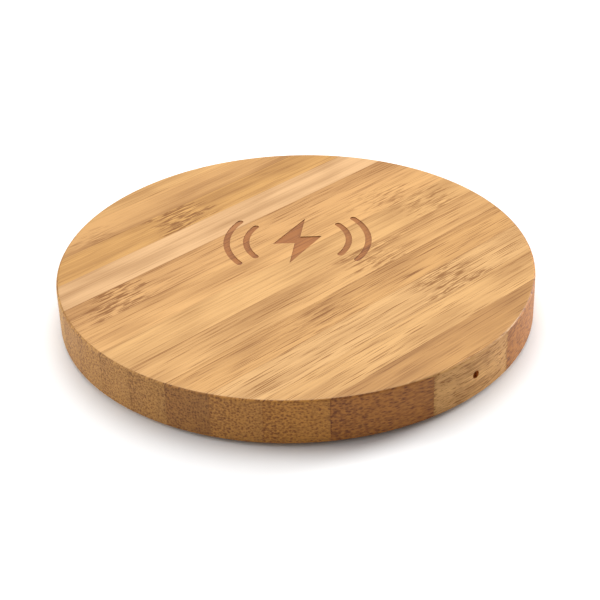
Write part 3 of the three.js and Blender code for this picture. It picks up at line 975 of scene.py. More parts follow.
def dress(finish: SurfaceFinish | LitzCopper, *nodes: str) -> None:
    """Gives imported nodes, whose shape stays, their finish.

    Args:
        finish: the finish.
        nodes: the nodes' names.
    """
    for node in nodes:
        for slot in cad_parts[node].material_slots:
            slot.material = finish.build()
        log.info("%s: kept, in %s", node, finish.build().name)


def numbered(stem: str, count: int) -> list[str]:
    """Names of a node's numbered copies, from 1."""
    return [f"{stem}_{i}" for i in range(1, count + 1)]


def spot(node: str, height: float = 0.0) -> Vector:
    """Finds the point over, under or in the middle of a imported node's box.

    Args:
        node: the node's name.
        height: the point's height.

    Returns:
        The point.
    """
    low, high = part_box(node)
    middle = (low + high) / 2
    return Vector((middle.x, middle.y, height))


# ---- Casing ----


@dataclass(frozen=True)
class PortOutline:
    """The USB micro-B shell's outline: flat on top, with slanted lower corners.

    Attributes:
        grow: how far the outline stands outside the shell's own.
    """

    grow: float = 0.0
    slant: float = 1.05 * MM
    corner_round: float = 0.35 * MM

    def prism(self, start: float, end: float) -> Mesh:
        """Makes a solid of the outline, from one place along Y to another.

        Args:
            start: its first end.
            end: its other end.

        Returns:
            The solid.
        """
        low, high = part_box("port_shell")
        half, bottom, top = high.x + self.grow, low.z - self.grow, high.z + self.grow
        slant = self.slant + self.grow * (2 - math.sqrt(2))
        left = [(-half, top), (-half, bottom + slant), (slant - half, bottom)]
        right = [(-x, z) for x, z in reversed(left)]
        bm = bmesh.new()
        verts = [bm.verts.new((x, start, z)) for x, z in left + right]
        bm.faces.new(verts)
        bmesh.ops.bevel(
            bm,
            geom=verts,
            offset=self.corner_round + self.grow,
            affect="VERTICES",
            segments=4,
            profile=0.5,
            material=-1,
        )
        push_out(bm, (0, end - start, 0))
        return bm


@dataclass
class ChargingSign:
    """The laser-engraved sign: a bolt between two pairs of waves.

    Attributes:
        turn: angle that it is turned by about Z.
        centre: its middle, as the user who faces it sees it.
        bolt: the bolt's corners, as shares of half its width and half its height.
        wave_half_angle: how far a wave runs each way from the level line, in radians.
        wave_steps: how many steps make a wave's side, and its round end.
    """

    depth: float = 0.15 * MM
    turn: float = math.radians(-42.6)
    centre: tuple[float, float] = (0.6 * MM, 8.5 * MM)
    bolt_height: float = 18 * MM
    bolt_width: float = 10 * MM
    bolt: Outline = (
        (0.35, 1.0),
        (-1.0, -0.12),
        (-0.12, -0.12),
        (-0.35, -1.0),
        (1.0, 0.16),
        (0.12, 0.16),
    )
    wave_radii: tuple[float, ...] = (10.5 * MM, 14.5 * MM)
    wave_half_angle: float = 0.62
    wave_stroke: float = 1.3 * MM
    wave_steps: tuple[int, int] = (28, 8)

    def add_wave(self, bm: Mesh, radius: float, side: int) -> None:
        """Adds one wave's flat outline, with round ends.

        Args:
            bm: the mesh that is added to.
            radius: the wave's radius at the middle of its stroke.
            side: -1 for left of the bolt, 1 for right of it.
        """
        middle = 0.0 if side > 0 else math.pi
        start, end = (
            Vector((math.cos(a), math.sin(a), 0.0))
            for a in (middle - self.wave_half_angle, middle + self.wave_half_angle)
        )
        sweep = 2 * self.wave_half_angle
        long, short = self.wave_steps
        pen = bm.verts.new(start * (radius + self.wave_stroke / 2))
        steps = (
            ((0, 0, 0), sweep, long),
            (end * radius, math.pi, short),
            ((0, 0, 0), -sweep, long),
            (start * radius, math.pi, short),
        )
        for centre, angle, count in steps:
            swept = bmesh.ops.spin(bm, geom=[pen], cent=centre, axis=UP, angle=angle, steps=count)
            pen = points_of(swept["geom_last"])[0]
        bmesh.ops.remove_doubles(bm, verts=bm.verts[:], dist=SAME)

    def cutter(self, top: float, material: Material) -> Object:
        """Makes the tool that sinks the sign into the charging face.

        Args:
            top: height of the charging face.
            material: the engraved wood.

        Returns:
            The tool.
        """
        bm = bmesh.new()
        for radius in self.wave_radii:
            for side in (-1, 1):
                self.add_wave(bm, radius, side)
        bmesh.ops.edgenet_fill(bm, edges=bm.edges[:])
        wide, tall = self.bolt_width / 2, self.bolt_height / 2
        bm.faces.new([bm.verts.new((x * wide, y * tall, 0.0)) for x, y in self.bolt])
        push_out(bm, (0, 0, self.depth + PAST))
        shift(bm, (*self.centre, top - self.depth))
        return make_object("sign_tool", shift(bm, (0, 0, 0), self.turn), material)


@dataclass
class Casing:
    """The laminated bamboo disc, milled from below and engraved on top.

    Attributes:
        skin: how much wood is left over the coil.
        ledge_radius: radius of the step that the base plate drops into.
        support: width of the flat band beside a rounded edge, which keeps the shading level.
        pilot_top: height that the screws' pilot holes reach.
        bay_half_width: half the width of the bay that the port's end of the board fills.
        bay_reach: how far the bay runs back into the pocket.
        port_wall: how much wood is left beside the port's mouth.
        port_gap: gap all round the port's shell.
    """

    pocket_radius: float = 35.5 * MM
    skin: float = 1.8 * MM
    ledge_radius: float = 43.15 * MM
    ledge_depth: float = 1.65 * MM
    edge_round: float = 0.45 * MM
    bottom_chamfer: float = 0.4 * MM
    support: float = 0.3 * MM
    light_hole_radius: float = 0.8 * MM
    light_hole_length: float = 14 * MM
    light_height: float = 5.6 * MM
    pilot_radius: float = 1.05 * MM
    pilot_top: float = 6.15 * MM
    bay_half_width: float = 6.5 * MM
    bay_reach: float = 5 * MM
    port_wall: float = 2 * MM
    port_gap: float = 0.25 * MM
    sign: ChargingSign = field(default_factory=ChargingSign)
    bamboo: LaminatedBamboo = field(default_factory=LaminatedBamboo)

    def build(self) -> None:
        """Builds the casing."""
        low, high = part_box("bamboo_casing")
        radius, bottom, top = high.x, low.z, high.z
        wood = self.bamboo.build()
        profile = [
            (0.0, top - self.skin),
            (self.pocket_radius, top - self.skin),
            (self.pocket_radius, bottom + self.ledge_depth),
            (self.ledge_radius, bottom + self.ledge_depth),
            (self.ledge_radius, bottom),
            (radius - self.bottom_chamfer, bottom),
            (radius, bottom + self.bottom_chamfer),
            (radius, bottom + self.bottom_chamfer + self.support),
            (radius, top - self.edge_round - self.support),
            *((r, top - drop) for r, drop in rounded(radius, self.edge_round, 4)),
            (radius - self.edge_round - self.support, top),
            (0.0, top),
        ]
        piece = make_object("pad_casing", revolve(profile, 240), wood)
        bay_end = radius - self.port_wall
        hole, pilots, bay = bmesh.new(), bmesh.new(), bmesh.new()
        hole_end = (0, 0, -radius - PAST)
        add_peg(hole, hole_end, self.light_hole_length + PAST, self.light_hole_radius, 32)
        lying = Matrix.Rotation(-math.pi / 2, 3, "X")
        bmesh.ops.rotate(hole, verts=hole.verts[:], matrix=lying)
        shift(hole, (0, 0, self.light_height))
        for name in numbered("base_screw", 4):
            add_peg(pilots, spot(name), self.pilot_top, self.pilot_radius, 20)
        add_block(
            bay,
            (-self.bay_half_width, self.pocket_radius - self.bay_reach, bottom - PAST),
            (self.bay_half_width, bay_end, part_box("port_shell")[1].z + 2 * self.port_gap),
        )
        window = PortOutline(grow=self.port_gap).prism(bay_end - PAST, radius + PAST)
        tools = [
            self.sign.cutter(top, self.bamboo.build(Burn.ENGRAVED)),
            make_object("hole_tool", hole, self.bamboo.build(Burn.SCORCHED)),
            make_object("pilot_tool", pilots, wood),
            make_object("bay_tool", bay, wood),
            make_object("window_tool", window, wood),
        ]
        combine(piece, tools)
        mount(piece, "bamboo", "bamboo_casing")


# ---- Underside ----


@dataclass
class BasePlate:
    """The moulded plate that closes the casing, with a tab under the port and three bosses.

    Attributes:
        tab_sink: keeps the tab's faces off the disc's, which a union can't share.
        pilot: radius and depth of a board screw's pilot hole.
        recess_radius: radius of the recess that a foot sits in.
        screw_hole: radii of a screw's hole at the head and at the shank.
        groove: radius, half the width and depth of the groove round the underside.
        gate_radius: radius of the moulding gate's sunk mark.
    """

    radius: float = 43 * MM
    thickness: float = 1.6 * MM
    chamfer: float = 0.3 * MM
    tab_half_width: float = 6.35 * MM
    tab_start: float = 34 * MM
    tab_sink: float = 0.02 * MM
    tab_ease: float = 0.1 * MM
    boss_radius: float = 2.2 * MM
    pilot: tuple[float, float] = (0.9 * MM, 3 * MM)
    recess_radius: float = 4.65 * MM
    recess_depth: float = 0.5 * MM
    screw_hole: tuple[float, float] = (1.95 * MM, 1.15 * MM)
    screw_head_height: float = 0.8 * MM
    groove: tuple[float, float, float] = (30.0 * MM, 0.5 * MM, 0.15 * MM)
    gate_radius: float = 1.5 * MM

    def disc(self, bottom: float, top: float) -> Mesh:
        """Makes the disc, with a groove round its underside and a gate mark in its middle.

        Args:
            bottom: height of its underside.
            top: height of its upper face.

        Returns:
            The disc's mesh.
        """
        middle, half, depth = self.groove
        profile = [
            (0.0, bottom + depth),
            (self.gate_radius - depth, bottom + depth),
            (self.gate_radius, bottom),
            (middle - half, bottom),
            (middle - half + depth, bottom + depth),
            (middle + half - depth, bottom + depth),
            (middle + half, bottom),
            (self.radius - self.chamfer, bottom),
            (self.radius, bottom + self.chamfer),
            (self.radius, top),
            (0.0, top),
        ]
        return revolve(profile, 180)

    def build(self) -> None:
        """Builds the plate."""
        low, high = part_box("base_plate")
        top = low.z + self.thickness
        boss_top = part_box("circuit_board")[0].z - SEAT
        piece = make_object("pad_base_plate", self.disc(low.z, top), MOULDED_ABS.build())

        tab, bosses, pilots, seats = (bmesh.new() for _ in range(4))
        add_block(
            tab,
            (-self.tab_half_width, self.tab_start, low.z + self.tab_sink),
            (self.tab_half_width, high.y, top - self.tab_sink),
            ease=self.tab_ease,
        )
        pilot_radius, pilot_depth = self.pilot
        for name in numbered("board_screw", 3):
            add_peg(bosses, spot(name, top - SEAT), boss_top - top + SEAT, self.boss_radius)
            add_peg(pilots, spot(name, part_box(name)[0].z - SEAT), pilot_depth, pilot_radius)
        joined = [make_object("tab_tool", tab), make_object("boss_tool", bosses)]
        combine(piece, joined, operation="UNION")

        head, shank = self.screw_hole
        floor = low.z + self.recess_depth
        seat = [
            (0.0, low.z - PAST),
            (self.recess_radius, low.z - PAST),
            (self.recess_radius, floor),
            (head, floor),
            (shank, floor + self.screw_head_height),
            (shank, top + PAST),
            (0.0, top + PAST),
        ]
        for name in numbered("foot", 4):
            add_mesh(seats, shift(revolve(seat, 48), spot(name)))
        combine(piece, [make_object("seat_tool", seats), make_object("pilot_tool", pilots)])
        mount(piece, "black_plastic", "base_plate")


@dataclass
class Foot:
    """One moulded silicone foot, dished underneath so that it grips at its rim.

    Attributes:
        dish: the dish's outline, as radius from the dish's own and share of its depth.
    """

    edge_round: float = 0.35 * MM
    top_chamfer: float = 0.1 * MM
    dish_radius: float = 3.0 * MM
    dish_depth: float = 0.12 * MM
    dish: Outline = ((-0.6 * MM, 1.0), (-0.2 * MM, 0.6), (0.0, 0.0))

    def build(self, node: str) -> None:
        """Builds the foot.

        Args:
            node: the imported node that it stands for.
        """
        low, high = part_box(node)
        radius = (high.x - low.x) / 2
        profile = [
            (0.0, self.dish_depth),
            *((self.dish_radius + out, self.dish_depth * deep) for out, deep in self.dish),
            *reversed(rounded(radius, self.edge_round, 5)),
            (radius, high.z - self.top_chamfer),
            (radius - self.top_chamfer, high.z),
            (0.0, high.z),
        ]
        bm = shift(revolve(profile, 64), spot(node))
        finish_faces(bm, sharp_from=50)
        mount(make_object(f"silicone_{node}", bm, SILICONE_RUBBER.build()), "rubber", node)


class ScrewHead(Enum):
    """How a screw's head is formed."""

    COUNTERSUNK = "countersunk"
    PAN = "pan"


@dataclass
class Screw:
    """A zinc-plated thread-forming screw with a cross recess.

    It is made with its head's face at height 0 and its point down.

    Attributes:
        shank: diameter over the thread.
        head: diameter of the head.
        tip: length of the point, which has no thread.
        bury: how far the thread's ridge is sunk in the shank.
        edge: height of the head's cylindrical edge.
        slot_reach: length of each of the recess's arms, as a share of the head.
    """

    head_form: ScrewHead
    shank: float
    head: float
    head_height: float
    tip: float
    pitch: float
    thread_depth: float = 0.16 * MM
    bury: float = 0.04 * MM
    edge: float = 0.05 * MM
    chamfer: float = 0.04 * MM
    neck: float = 0.1 * MM
    slot_width: float = 0.4 * MM
    slot_depth: float = 0.45 * MM
    slot_reach: float = 0.3
    steps_per_turn: int = 20

    def profile(self, length: float) -> Outline:
        """The turned outline, from the head's face down.

        Args:
            length: from the head's face to the point.

        Returns:
            Points as radius and height.
        """
        crest, half, tall = self.shank / 2, self.head / 2, self.head_height
        root = crest - self.thread_depth
        if self.head_form is ScrewHead.COUNTERSUNK:
            head = [(half, 0.0), (half, -self.edge)]
        else:
            dome = [(0.36, 0.0), (0.72, 0.12), (0.92, 0.33), (1.0, 0.55)]
            head = [(half * out, -tall * down) for out, down in dome]
            head += [(half, -tall + self.chamfer), (half - self.chamfer, -tall)]
        return [
            (0.0, 0.0),
            *head,
            (crest, -tall),
            (root, -tall - self.neck),
            (root, self.tip - length),
            (crest / 3, -length),
            (0.0, -length),
        ]

    def add_thread(self, bm: Mesh, length: float) -> None:
        """Adds the thread's ridge, wound down the shank.

        Args:
            bm: the mesh that is added to.
            length: from the head's face to the point.
        """
        crest, pitch = self.shank / 2, self.pitch
        root = crest - self.thread_depth - self.bury
        start = -self.head_height - pitch / 2
        turns = (length - self.tip - self.head_height - pitch) / pitch
        steps = round(turns * self.steps_per_turn)
        ridge = [(root, start), (crest, start - pitch * 0.3), (root, start - pitch * 0.6)]
        face = bm.faces.new([bm.verts.new((x, 0.0, z)) for x, z in ridge])
        bmesh.ops.spin(
            bm,
            geom=[face, *face.verts, *face.edges],
            cent=(0, 0, 0),
            axis=UP,
            dvec=(0, 0, -turns * pitch / steps),
            angle=turns * FULL_TURN,
            steps=steps,
        )
        bmesh.ops.recalc_face_normals(bm, faces=bm.faces[:])

    def build(self, node: str, points_up: bool) -> None:
        """Builds the screw.

        Args:
            node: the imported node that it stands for.
            points_up: whether its head is at the bottom.
        """
        low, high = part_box(node)
        length = high.z - low.z
        turned = revolve(self.profile(length), 28)
        piece = make_object(f"{self.head_form.value}_{node}", turned, ZINC_PLATE.build())
        reach, half = self.head * self.slot_reach, self.slot_width / 2
        arms = []
        for x, y in ((reach, half), (half, reach)):
            arm = bmesh.new()
            add_block(arm, (-x, -y, -self.slot_depth), (x, y, PAST))
            arms.append(make_object("slot_tool", arm))
        combine(piece, arms)
        bm = bmesh.new()
        bm.from_mesh(piece.data)
        self.add_thread(bm, length)
        if points_up:
            bmesh.ops.rotate(bm, verts=bm.verts[:], matrix=Matrix.Rotation(math.pi, 3, "X"))
        shift(bm, spot(node, low.z if points_up else high.z))
        finish_faces(bm)
        bm.to_mesh(piece.data)
        bm.free()
        mount(piece, "zinc_steel", node)


# ---- Coil stack ----


@dataclass
class ChargingCoil:
    """The flat coil: two layers, each wound of several litz wires side by side."""

    inner: float = 10.25 * MM
    turns: int = 10
    steps_per_turn: int = 48
    wires: int = 2
    wire: float = 0.53 * MM

    def wind(self, curve: bpy.types.Curve, height: float, outer: float, hand: int) -> None:
        """Winds one layer.

        Args:
            curve: the curve that is added to.
            height: height of the wires' middles.
            outer: the coil's outer radius.
            hand: 1 or -1, the way that it winds.
        """
        first, last = self.inner + self.wire / 2, outer - self.wire / 2
        per_turn = (last - first) / (self.turns + (self.wires - 1) / self.wires)
        count = self.turns * self.steps_per_turn
        for start in range(self.wires):
            spline = curve.splines.new("POLY")
            spline.points.add(count)
            for i, point in enumerate(spline.points):
                turn = i / self.steps_per_turn
                radius = first + per_turn * (turn + start / self.wires)
                angle = hand * turn * FULL_TURN
                point.co = (radius * math.cos(angle), radius * math.sin(angle), height, 1.0)

    def build(self) -> None:
        """Builds the coil."""
        low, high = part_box("charging_coil")
        curve = bpy.data.curves.new("litz", "CURVE")
        curve.dimensions = "3D"
        curve.bevel_depth = self.wire / 2
        curve.bevel_resolution = 2
        curve.use_fill_caps = True
        for height, hand in ((low.z + self.wire / 2, 1), (high.z - self.wire / 2, -1)):
            self.wind(curve, height, high.x, hand)
        line = bpy.data.objects.new("litz", curve)
        bpy.context.scene.collection.objects.link(line)
        bpy.context.view_layer.update()
        wound = line.evaluated_get(bpy.context.evaluated_depsgraph_get())
        mesh = bpy.data.meshes.new_from_object(wound)
        bpy.data.objects.remove(line)
        bm = bmesh.new()
        bm.from_mesh(mesh)
        bpy.data.meshes.remove(mesh)
        finish_faces(bm, sharp_from=60)
        piece = make_object("litz_coil", bm, LitzCopper().build())
        mount(piece, "copper_wire", "charging_coil")


@dataclass
class SupportFoam:
    """The die-cut foam disc that presses the coil stack up; its side bulges where it is squeezed.

    Attributes:
        bulge: how far the side stands out at mid-height.
        rings: radii that divide the faces, as shares of the whole.
        fill: how full the soft piece is. It is not used.
    """

    bulge: float = 0.35 * MM
    rings: tuple[float, ...] = (0.3, 0.6, 0.85)
    fill: float = 0.9

    def build(self) -> None:
        """Builds the foam."""
        low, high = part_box("support_foam")
        radius, tall = high.x - self.bulge, high.z - low.z
        shares = [i / 10 for i in range(11)]
        profile = [
            (0.0, low.z),
            *((radius * ring, low.z) for ring in self.rings),
            *((radius + self.bulge * math.sin(s * math.pi), low.z + s * tall) for s in shares),
            *((radius * ring, high.z) for ring in reversed(self.rings)),
            (0.0, high.z),
        ]
        bm = revolve(profile, 128)
        finish_faces(bm, sharp_from=40)
        piece = make_object("foam_disc", bm, FOAM.build())
        mount(piece, "foam", "support_foam")


# ---- Board ----


@dataclass(frozen=True)
class RingPart:
    """A component on the board's ring. Its length runs round the ring, and its depth outwards.

    Attributes:
        node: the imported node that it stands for.
        slot: its material slot in the record.
    """

    node: str
    slot: str
    length: float
    depth: float

    def place(self, bm: Mesh) -> Mesh:
        """Moves a mesh that was made round the origin to the part's place, and gives it back."""
        middle = spot(self.node)
        return shift(bm, middle, math.atan2(middle.y, middle.x))

    def finish(self, stem: str, bm: Mesh, *finishes: SurfaceFinish) -> None:
        """Makes the part's object of its mesh and puts it on the board.

        Args:
            stem: what its name starts with.
            bm: its mesh, made round the origin.
            finishes: its finishes, by face index.
        """
        finish_faces(self.place(bm))
        materials = [finish.build() for finish in finishes]
        mount(make_object(f"{stem}_{self.node}", bm, *materials), self.slot, self.node)


@dataclass(frozen=True)
class ChipPart(RingPart):
    """A two-ended chip: a fired or glazed body between two tinned ends that wrap it.

    Attributes:
        body: finish of the body.
        ends: length of one end.
        skin: thickness of the tin over the body.
        end_ease: radius of the ends' edges.
    """

    body: SurfaceFinish = FIRED_CERAMIC
    ends: float = 0.3 * MM
    skin: float = 0.03 * MM
    end_ease: float = 0.07 * MM

    def build(self) -> None:
        """Builds the chip."""
        low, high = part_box(self.node)
        half, deep, skin = self.length / 2, self.depth / 2, self.skin
        bm = bmesh.new()
        add_block(
            bm,
            (skin - deep, self.ends / 2 - half, low.z + skin),
            (deep - skin, half - self.ends / 2, high.z - skin),
            ease=skin,
        )
        for near, far in ((-half, self.ends - half), (half - self.ends, half)):
            add_block(bm, (-deep, near, low.z), (deep, far, high.z), ease=self.end_ease, finish=1)
        self.finish("chip", bm, self.body, TIN_PLATE)


@dataclass(frozen=True)
class MouldedPart(RingPart):
    """A moulded part with bent tin leads: a driver with eight, a tantalum capacitor with two.

    Attributes:
        body: finish of the moulding.
        lead_span: from toe to toe of the leads.
        lead_places: where the leads stand along each side.
        along_length: whether the leads stand at the two ends of the length.
        band: how much of the length has a polarity band.
        sheet: thickness of a lead.
        root: how far a lead runs back inside the body.
    """

    body: SurfaceFinish = MOULDING_EPOXY
    lead_span: float = 6 * MM
    lead_width: float = 0.42 * MM
    lead_places: tuple[float, ...] = (0.0,)
    along_length: bool = False
    band: float = 0.0
    sheet: float = 0.2 * MM
    root: float = 0.2 * MM
    ease: float = 0.05 * MM
    draft: float = 0.12 * MM

    def add_lead(self, bm: Mesh, bottom: float, rise: float, start: float) -> None:
        """Presses one lead along +X: out of the body, down and out again to its toe.

        Args:
            bm: the empty mesh that it is made in.
            bottom: height of the lead's underside at its toe.
            rise: how far up it leaves the body.
            start: where it leaves the body.
        """
        half, bend, toe = self.lead_width / 2, self.sheet * 0.9, self.lead_span / 2
        knee, level = (start + toe) / 2, bottom + rise
        ends = [bm.verts.new((start - self.root, side * half, level)) for side in (-1, 1)]
        edge = bm.edges.new(ends)
        straights = (
            (knee - bend - start + self.root, 0, 0),
            (0, 0, 2 * bend - rise),
            (toe - knee - bend, 0, 0),
        )
        bends = ((1, (knee - bend, 0, level - bend)), (-1, (knee + bend, 0, bottom + bend)), None)
        for straight, turn in zip(straights, bends):
            verts = points_of(bmesh.ops.extrude_edge_only(bm, edges=[edge])["geom"])
            bmesh.ops.translate(bm, verts=verts, vec=straight)
            edge = next(e for e in verts[0].link_edges if e.other_vert(verts[0]) is verts[1])
            if turn:
                way, centre = turn
                swept = bmesh.ops.spin(
                    bm,
                    geom=[edge, *edge.verts],
                    cent=centre,
                    axis=(0, way, 0),
                    angle=math.pi / 2,
                    steps=4,
                )["geom_last"]
                edge = next(g for g in swept if isinstance(g, bmesh.types.BMEdge))
        faces = bm.faces[:]
        bmesh.ops.recalc_face_normals(bm, faces=faces)
        if sum(f.normal.z for f in faces) < 0:
            bmesh.ops.reverse_faces(bm, faces=faces)
        bmesh.ops.solidify(bm, geom=faces, thickness=-self.sheet)

    def build(self) -> None:
        """Builds the part."""
        low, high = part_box(self.node)
        half, deep = self.length / 2, self.depth / 2
        bm = bmesh.new()
        bottom = (-deep, -half, low.z + self.sheet / 2)
        add_block(bm, bottom, (deep, half, high.z), ease=self.ease, draft=self.draft)
        if self.band:
            line = half - self.band
            geom = bm.verts[:] + bm.edges[:] + bm.faces[:]
            bmesh.ops.bisect_plane(bm, geom=geom, plane_co=(0, line, 0), plane_no=(0, 1, 0))
            for face in bm.faces:
                if face.calc_center_median().y > line:
                    face.material_index = 2
        leads = bmesh.new()
        rise, quarter = (high.z - low.z) / 2, math.pi / 2
        for place in self.lead_places:
            for side in (0.0, math.pi):
                one = bmesh.new()
                self.add_lead(one, low.z, rise, half if self.along_length else deep)
                turn = side + (quarter if self.along_length else 0.0)
                across = (place, 0.0, 0.0) if self.along_length else (0.0, place, 0.0)
                add_mesh(leads, shift(one, across, turn))
        for face in leads.faces:
            face.material_index = 1
        add_mesh(bm, leads)
        self.finish("moulded", bm, self.body, TIN_PLATE, BROWN_EPOXY)


@dataclass(frozen=True)
class FlatPackage(RingPart):
    """A leadless package: a body with soldered lands round its edge and a mark at its first pin.

    Attributes:
        body: finish of the body.
        lid: share of the size that a raised metal lid takes, or 0 for none.
        lands: how many lands each side has.
        lid_height: how far the lid stands above the body.
        pin_mark: the first pin's mark: radius, taper and height.
        mark_inset: from the mark's middle to the two sides.
        land_size: length inwards, stand-out and height of a land.
        land_row: share of a side that the lands take.
        land_half: half a land's width, as a share of the pitch.
    """

    body: SurfaceFinish = MOULDING_EPOXY
    lid: float = 0.0
    lands: int = 6
    lid_height: float = 0.3 * MM
    pin_mark: tuple[float, float, float] = (0.32 * MM, 0.04 * MM, 0.02 * MM)
    mark_inset: float = 0.8 * MM
    land_size: tuple[float, float, float] = (0.4 * MM, 0.01 * MM, 0.2 * MM)
    land_row: float = 0.86
    land_half: float = 0.28

    def add_lands(self, bm: Mesh, bottom: float) -> None:
        """Adds the lands on all four sides.

        Args:
            bm: the mesh that is added to.
            bottom: height of the lands' underside.
        """
        half, deep = self.length / 2, self.depth / 2
        inwards, out, height = self.land_size
        for i in range(self.lands):
            for quarter in (0, 2, 1, -1):
                size, reach = (deep, half) if quarter % 2 else (half, deep)
                pitch = 2 * size * self.land_row / self.lands
                y, wide = (i - (self.lands - 1) / 2) * pitch, pitch * self.land_half
                one = bmesh.new()
                near = (reach - inwards, y - wide, bottom)
                add_block(one, near, (reach + out, y + wide, bottom + height), finish=1)
                add_mesh(bm, shift(one, (0, 0, 0), quarter * math.pi / 2))

    def build(self) -> None:
        """Builds the package."""
        low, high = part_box(self.node)
        half, deep = self.length / 2, self.depth / 2
        rim = high.z - (self.lid_height if self.lid else 0.0)
        bm = bmesh.new()
        add_block(bm, (-deep, -half, low.z + 0.02 * MM), (deep, half, rim), ease=0.04 * MM)
        if self.lid:
            x, y = deep * self.lid, half * self.lid
            add_block(bm, (-x, -y, rim - SEAT), (x, y, high.z), ease=0.12 * MM, finish=1)
        else:
            radius, taper, height = self.pin_mark
            corner = (self.mark_inset - deep, self.mark_inset - half, high.z - height / 2)
            add_peg(bm, corner, height, radius, 20, taper)
        self.add_lands(bm, low.z)
        self.finish("package", bm, self.body, TIN_PLATE)


@dataclass
class BoardMetal:
    """Solder pads, screw rings and bus tracks that stand on the board's solder mask.

    Attributes:
        pad_margin: how far a pad runs out beyond its component.
        pad_half: half a chip pad's length, and how far its middle is in from the chip's end.
        ring_radii: inner and outer radius of the ring round a screw.
        arc_step: longest side of the straight steps that make an arc.
        tracks: each track's radius and width in mm, and its two ends in degrees.
        lead_pad: a coil lead's pad: inner radius, outer radius and half its width.
        contact_pad: a port contact's pad: half its width, and how far behind the shell it
            starts and ends.
    """

    thickness: float = 0.035 * MM
    pad_margin: float = 0.25 * MM
    pad_half: tuple[float, float] = (0.3 * MM, 0.1 * MM)
    ring_radii: tuple[float, float] = (1.05 * MM, 1.85 * MM)
    arc_step: float = 1.2 * MM
    tracks: tuple[tuple[float, float, float, float], ...] = (
        (26.4, 0.8, -10, 66),
        (27.3, 0.4, 4, 50),
        (26.4, 0.8, 128, 200),
        (27.3, 0.4, 134, 152),
        (33.2, 0.8, 70, 128),
        (33.2, 0.4, 12, 60),
        (33.2, 0.4, 204, 268),
        (32.4, 0.4, 208, 262),
    )
    lead_pad: tuple[float, float, float] = (28.2 * MM, 31.4 * MM, 0.9 * MM)
    contact_pad: tuple[float, float, float] = (0.18 * MM, 1.4 * MM, 0.1 * MM)

    def arc(self, radii: Sequence[float], angles: Sequence[float], low: float) -> Mesh:
        """Makes a flat arc of metal, or a whole ring.

        Args:
            radii: its inner and outer radius.
            angles: its ends, in degrees.
            low: height of its underside.

        Returns:
            The arc's mesh.
        """
        start, end = (math.radians(a) for a in angles)
        inner, outer = radii
        high = low + self.thickness
        bm = bmesh.new()
        corners = ((inner, low), (outer, low), (outer, high), (inner, high))
        face = bm.faces.new(
            [bm.verts.new((r * math.cos(start), r * math.sin(start), z)) for r, z in corners]
        )
        ring = angles[1] - angles[0] == 360
        section = [*face.verts, *face.edges]
        if ring:
            bmesh.ops.delete(bm, geom=[face], context="FACES_ONLY")
        else:
            section.append(face)
        bmesh.ops.spin(
            bm,
            geom=section,
            cent=(0, 0, 0),
            axis=UP,
            angle=end - start,
            steps=max(6, round((end - start) * outer / self.arc_step)),
            use_merge=ring,
        )
        return bm

    def build(self, parts: Sequence[RingPart]) -> None:
        """Builds all the metal on the board.

        Args:
            parts: the components that need pads.
        """
        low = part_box("circuit_board")[1].z
        high = low + self.thickness
        bm = bmesh.new()
        for radius, width, *angles in self.tracks:
            radii = ((radius - width / 2) * MM, (radius + width / 2) * MM)
            add_mesh(bm, self.arc(radii, angles, low))
        for name in numbered("board_screw", 3):
            add_mesh(bm, shift(self.arc(self.ring_radii, (0, 360), low), spot(name)))
        half, inset = self.pad_half
        for part in parts:
            one = bmesh.new()
            deep = part.depth / 2 + self.pad_margin
            for side in (-1, 1):
                y = side * (part.length / 2 - inset)
                add_block(one, (-deep, y - half, low), (deep, y + half, high))
            add_mesh(bm, part.place(one))
        inner, outer, half = self.lead_pad
        for name in numbered("coil_lead", 2):
            middle = spot(name)
            one = bmesh.new()
            add_block(one, (inner, -half, low), (outer, half, high))
            add_mesh(bm, shift(one, (0, 0, 0), math.atan2(middle.y, middle.x)))
        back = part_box("port_shell")[0].y
        half, start, end = self.contact_pad
        for name in numbered("port_contact", 5):
            x = spot(name).x
            add_block(bm, (x - half, back - start, low), (x + half, back - end, high))
        finish_faces(bm)
        piece = make_object("board_pads_and_tracks", bm, SOLDER_FINISH.build())
        mount(piece, "tinned_steel")


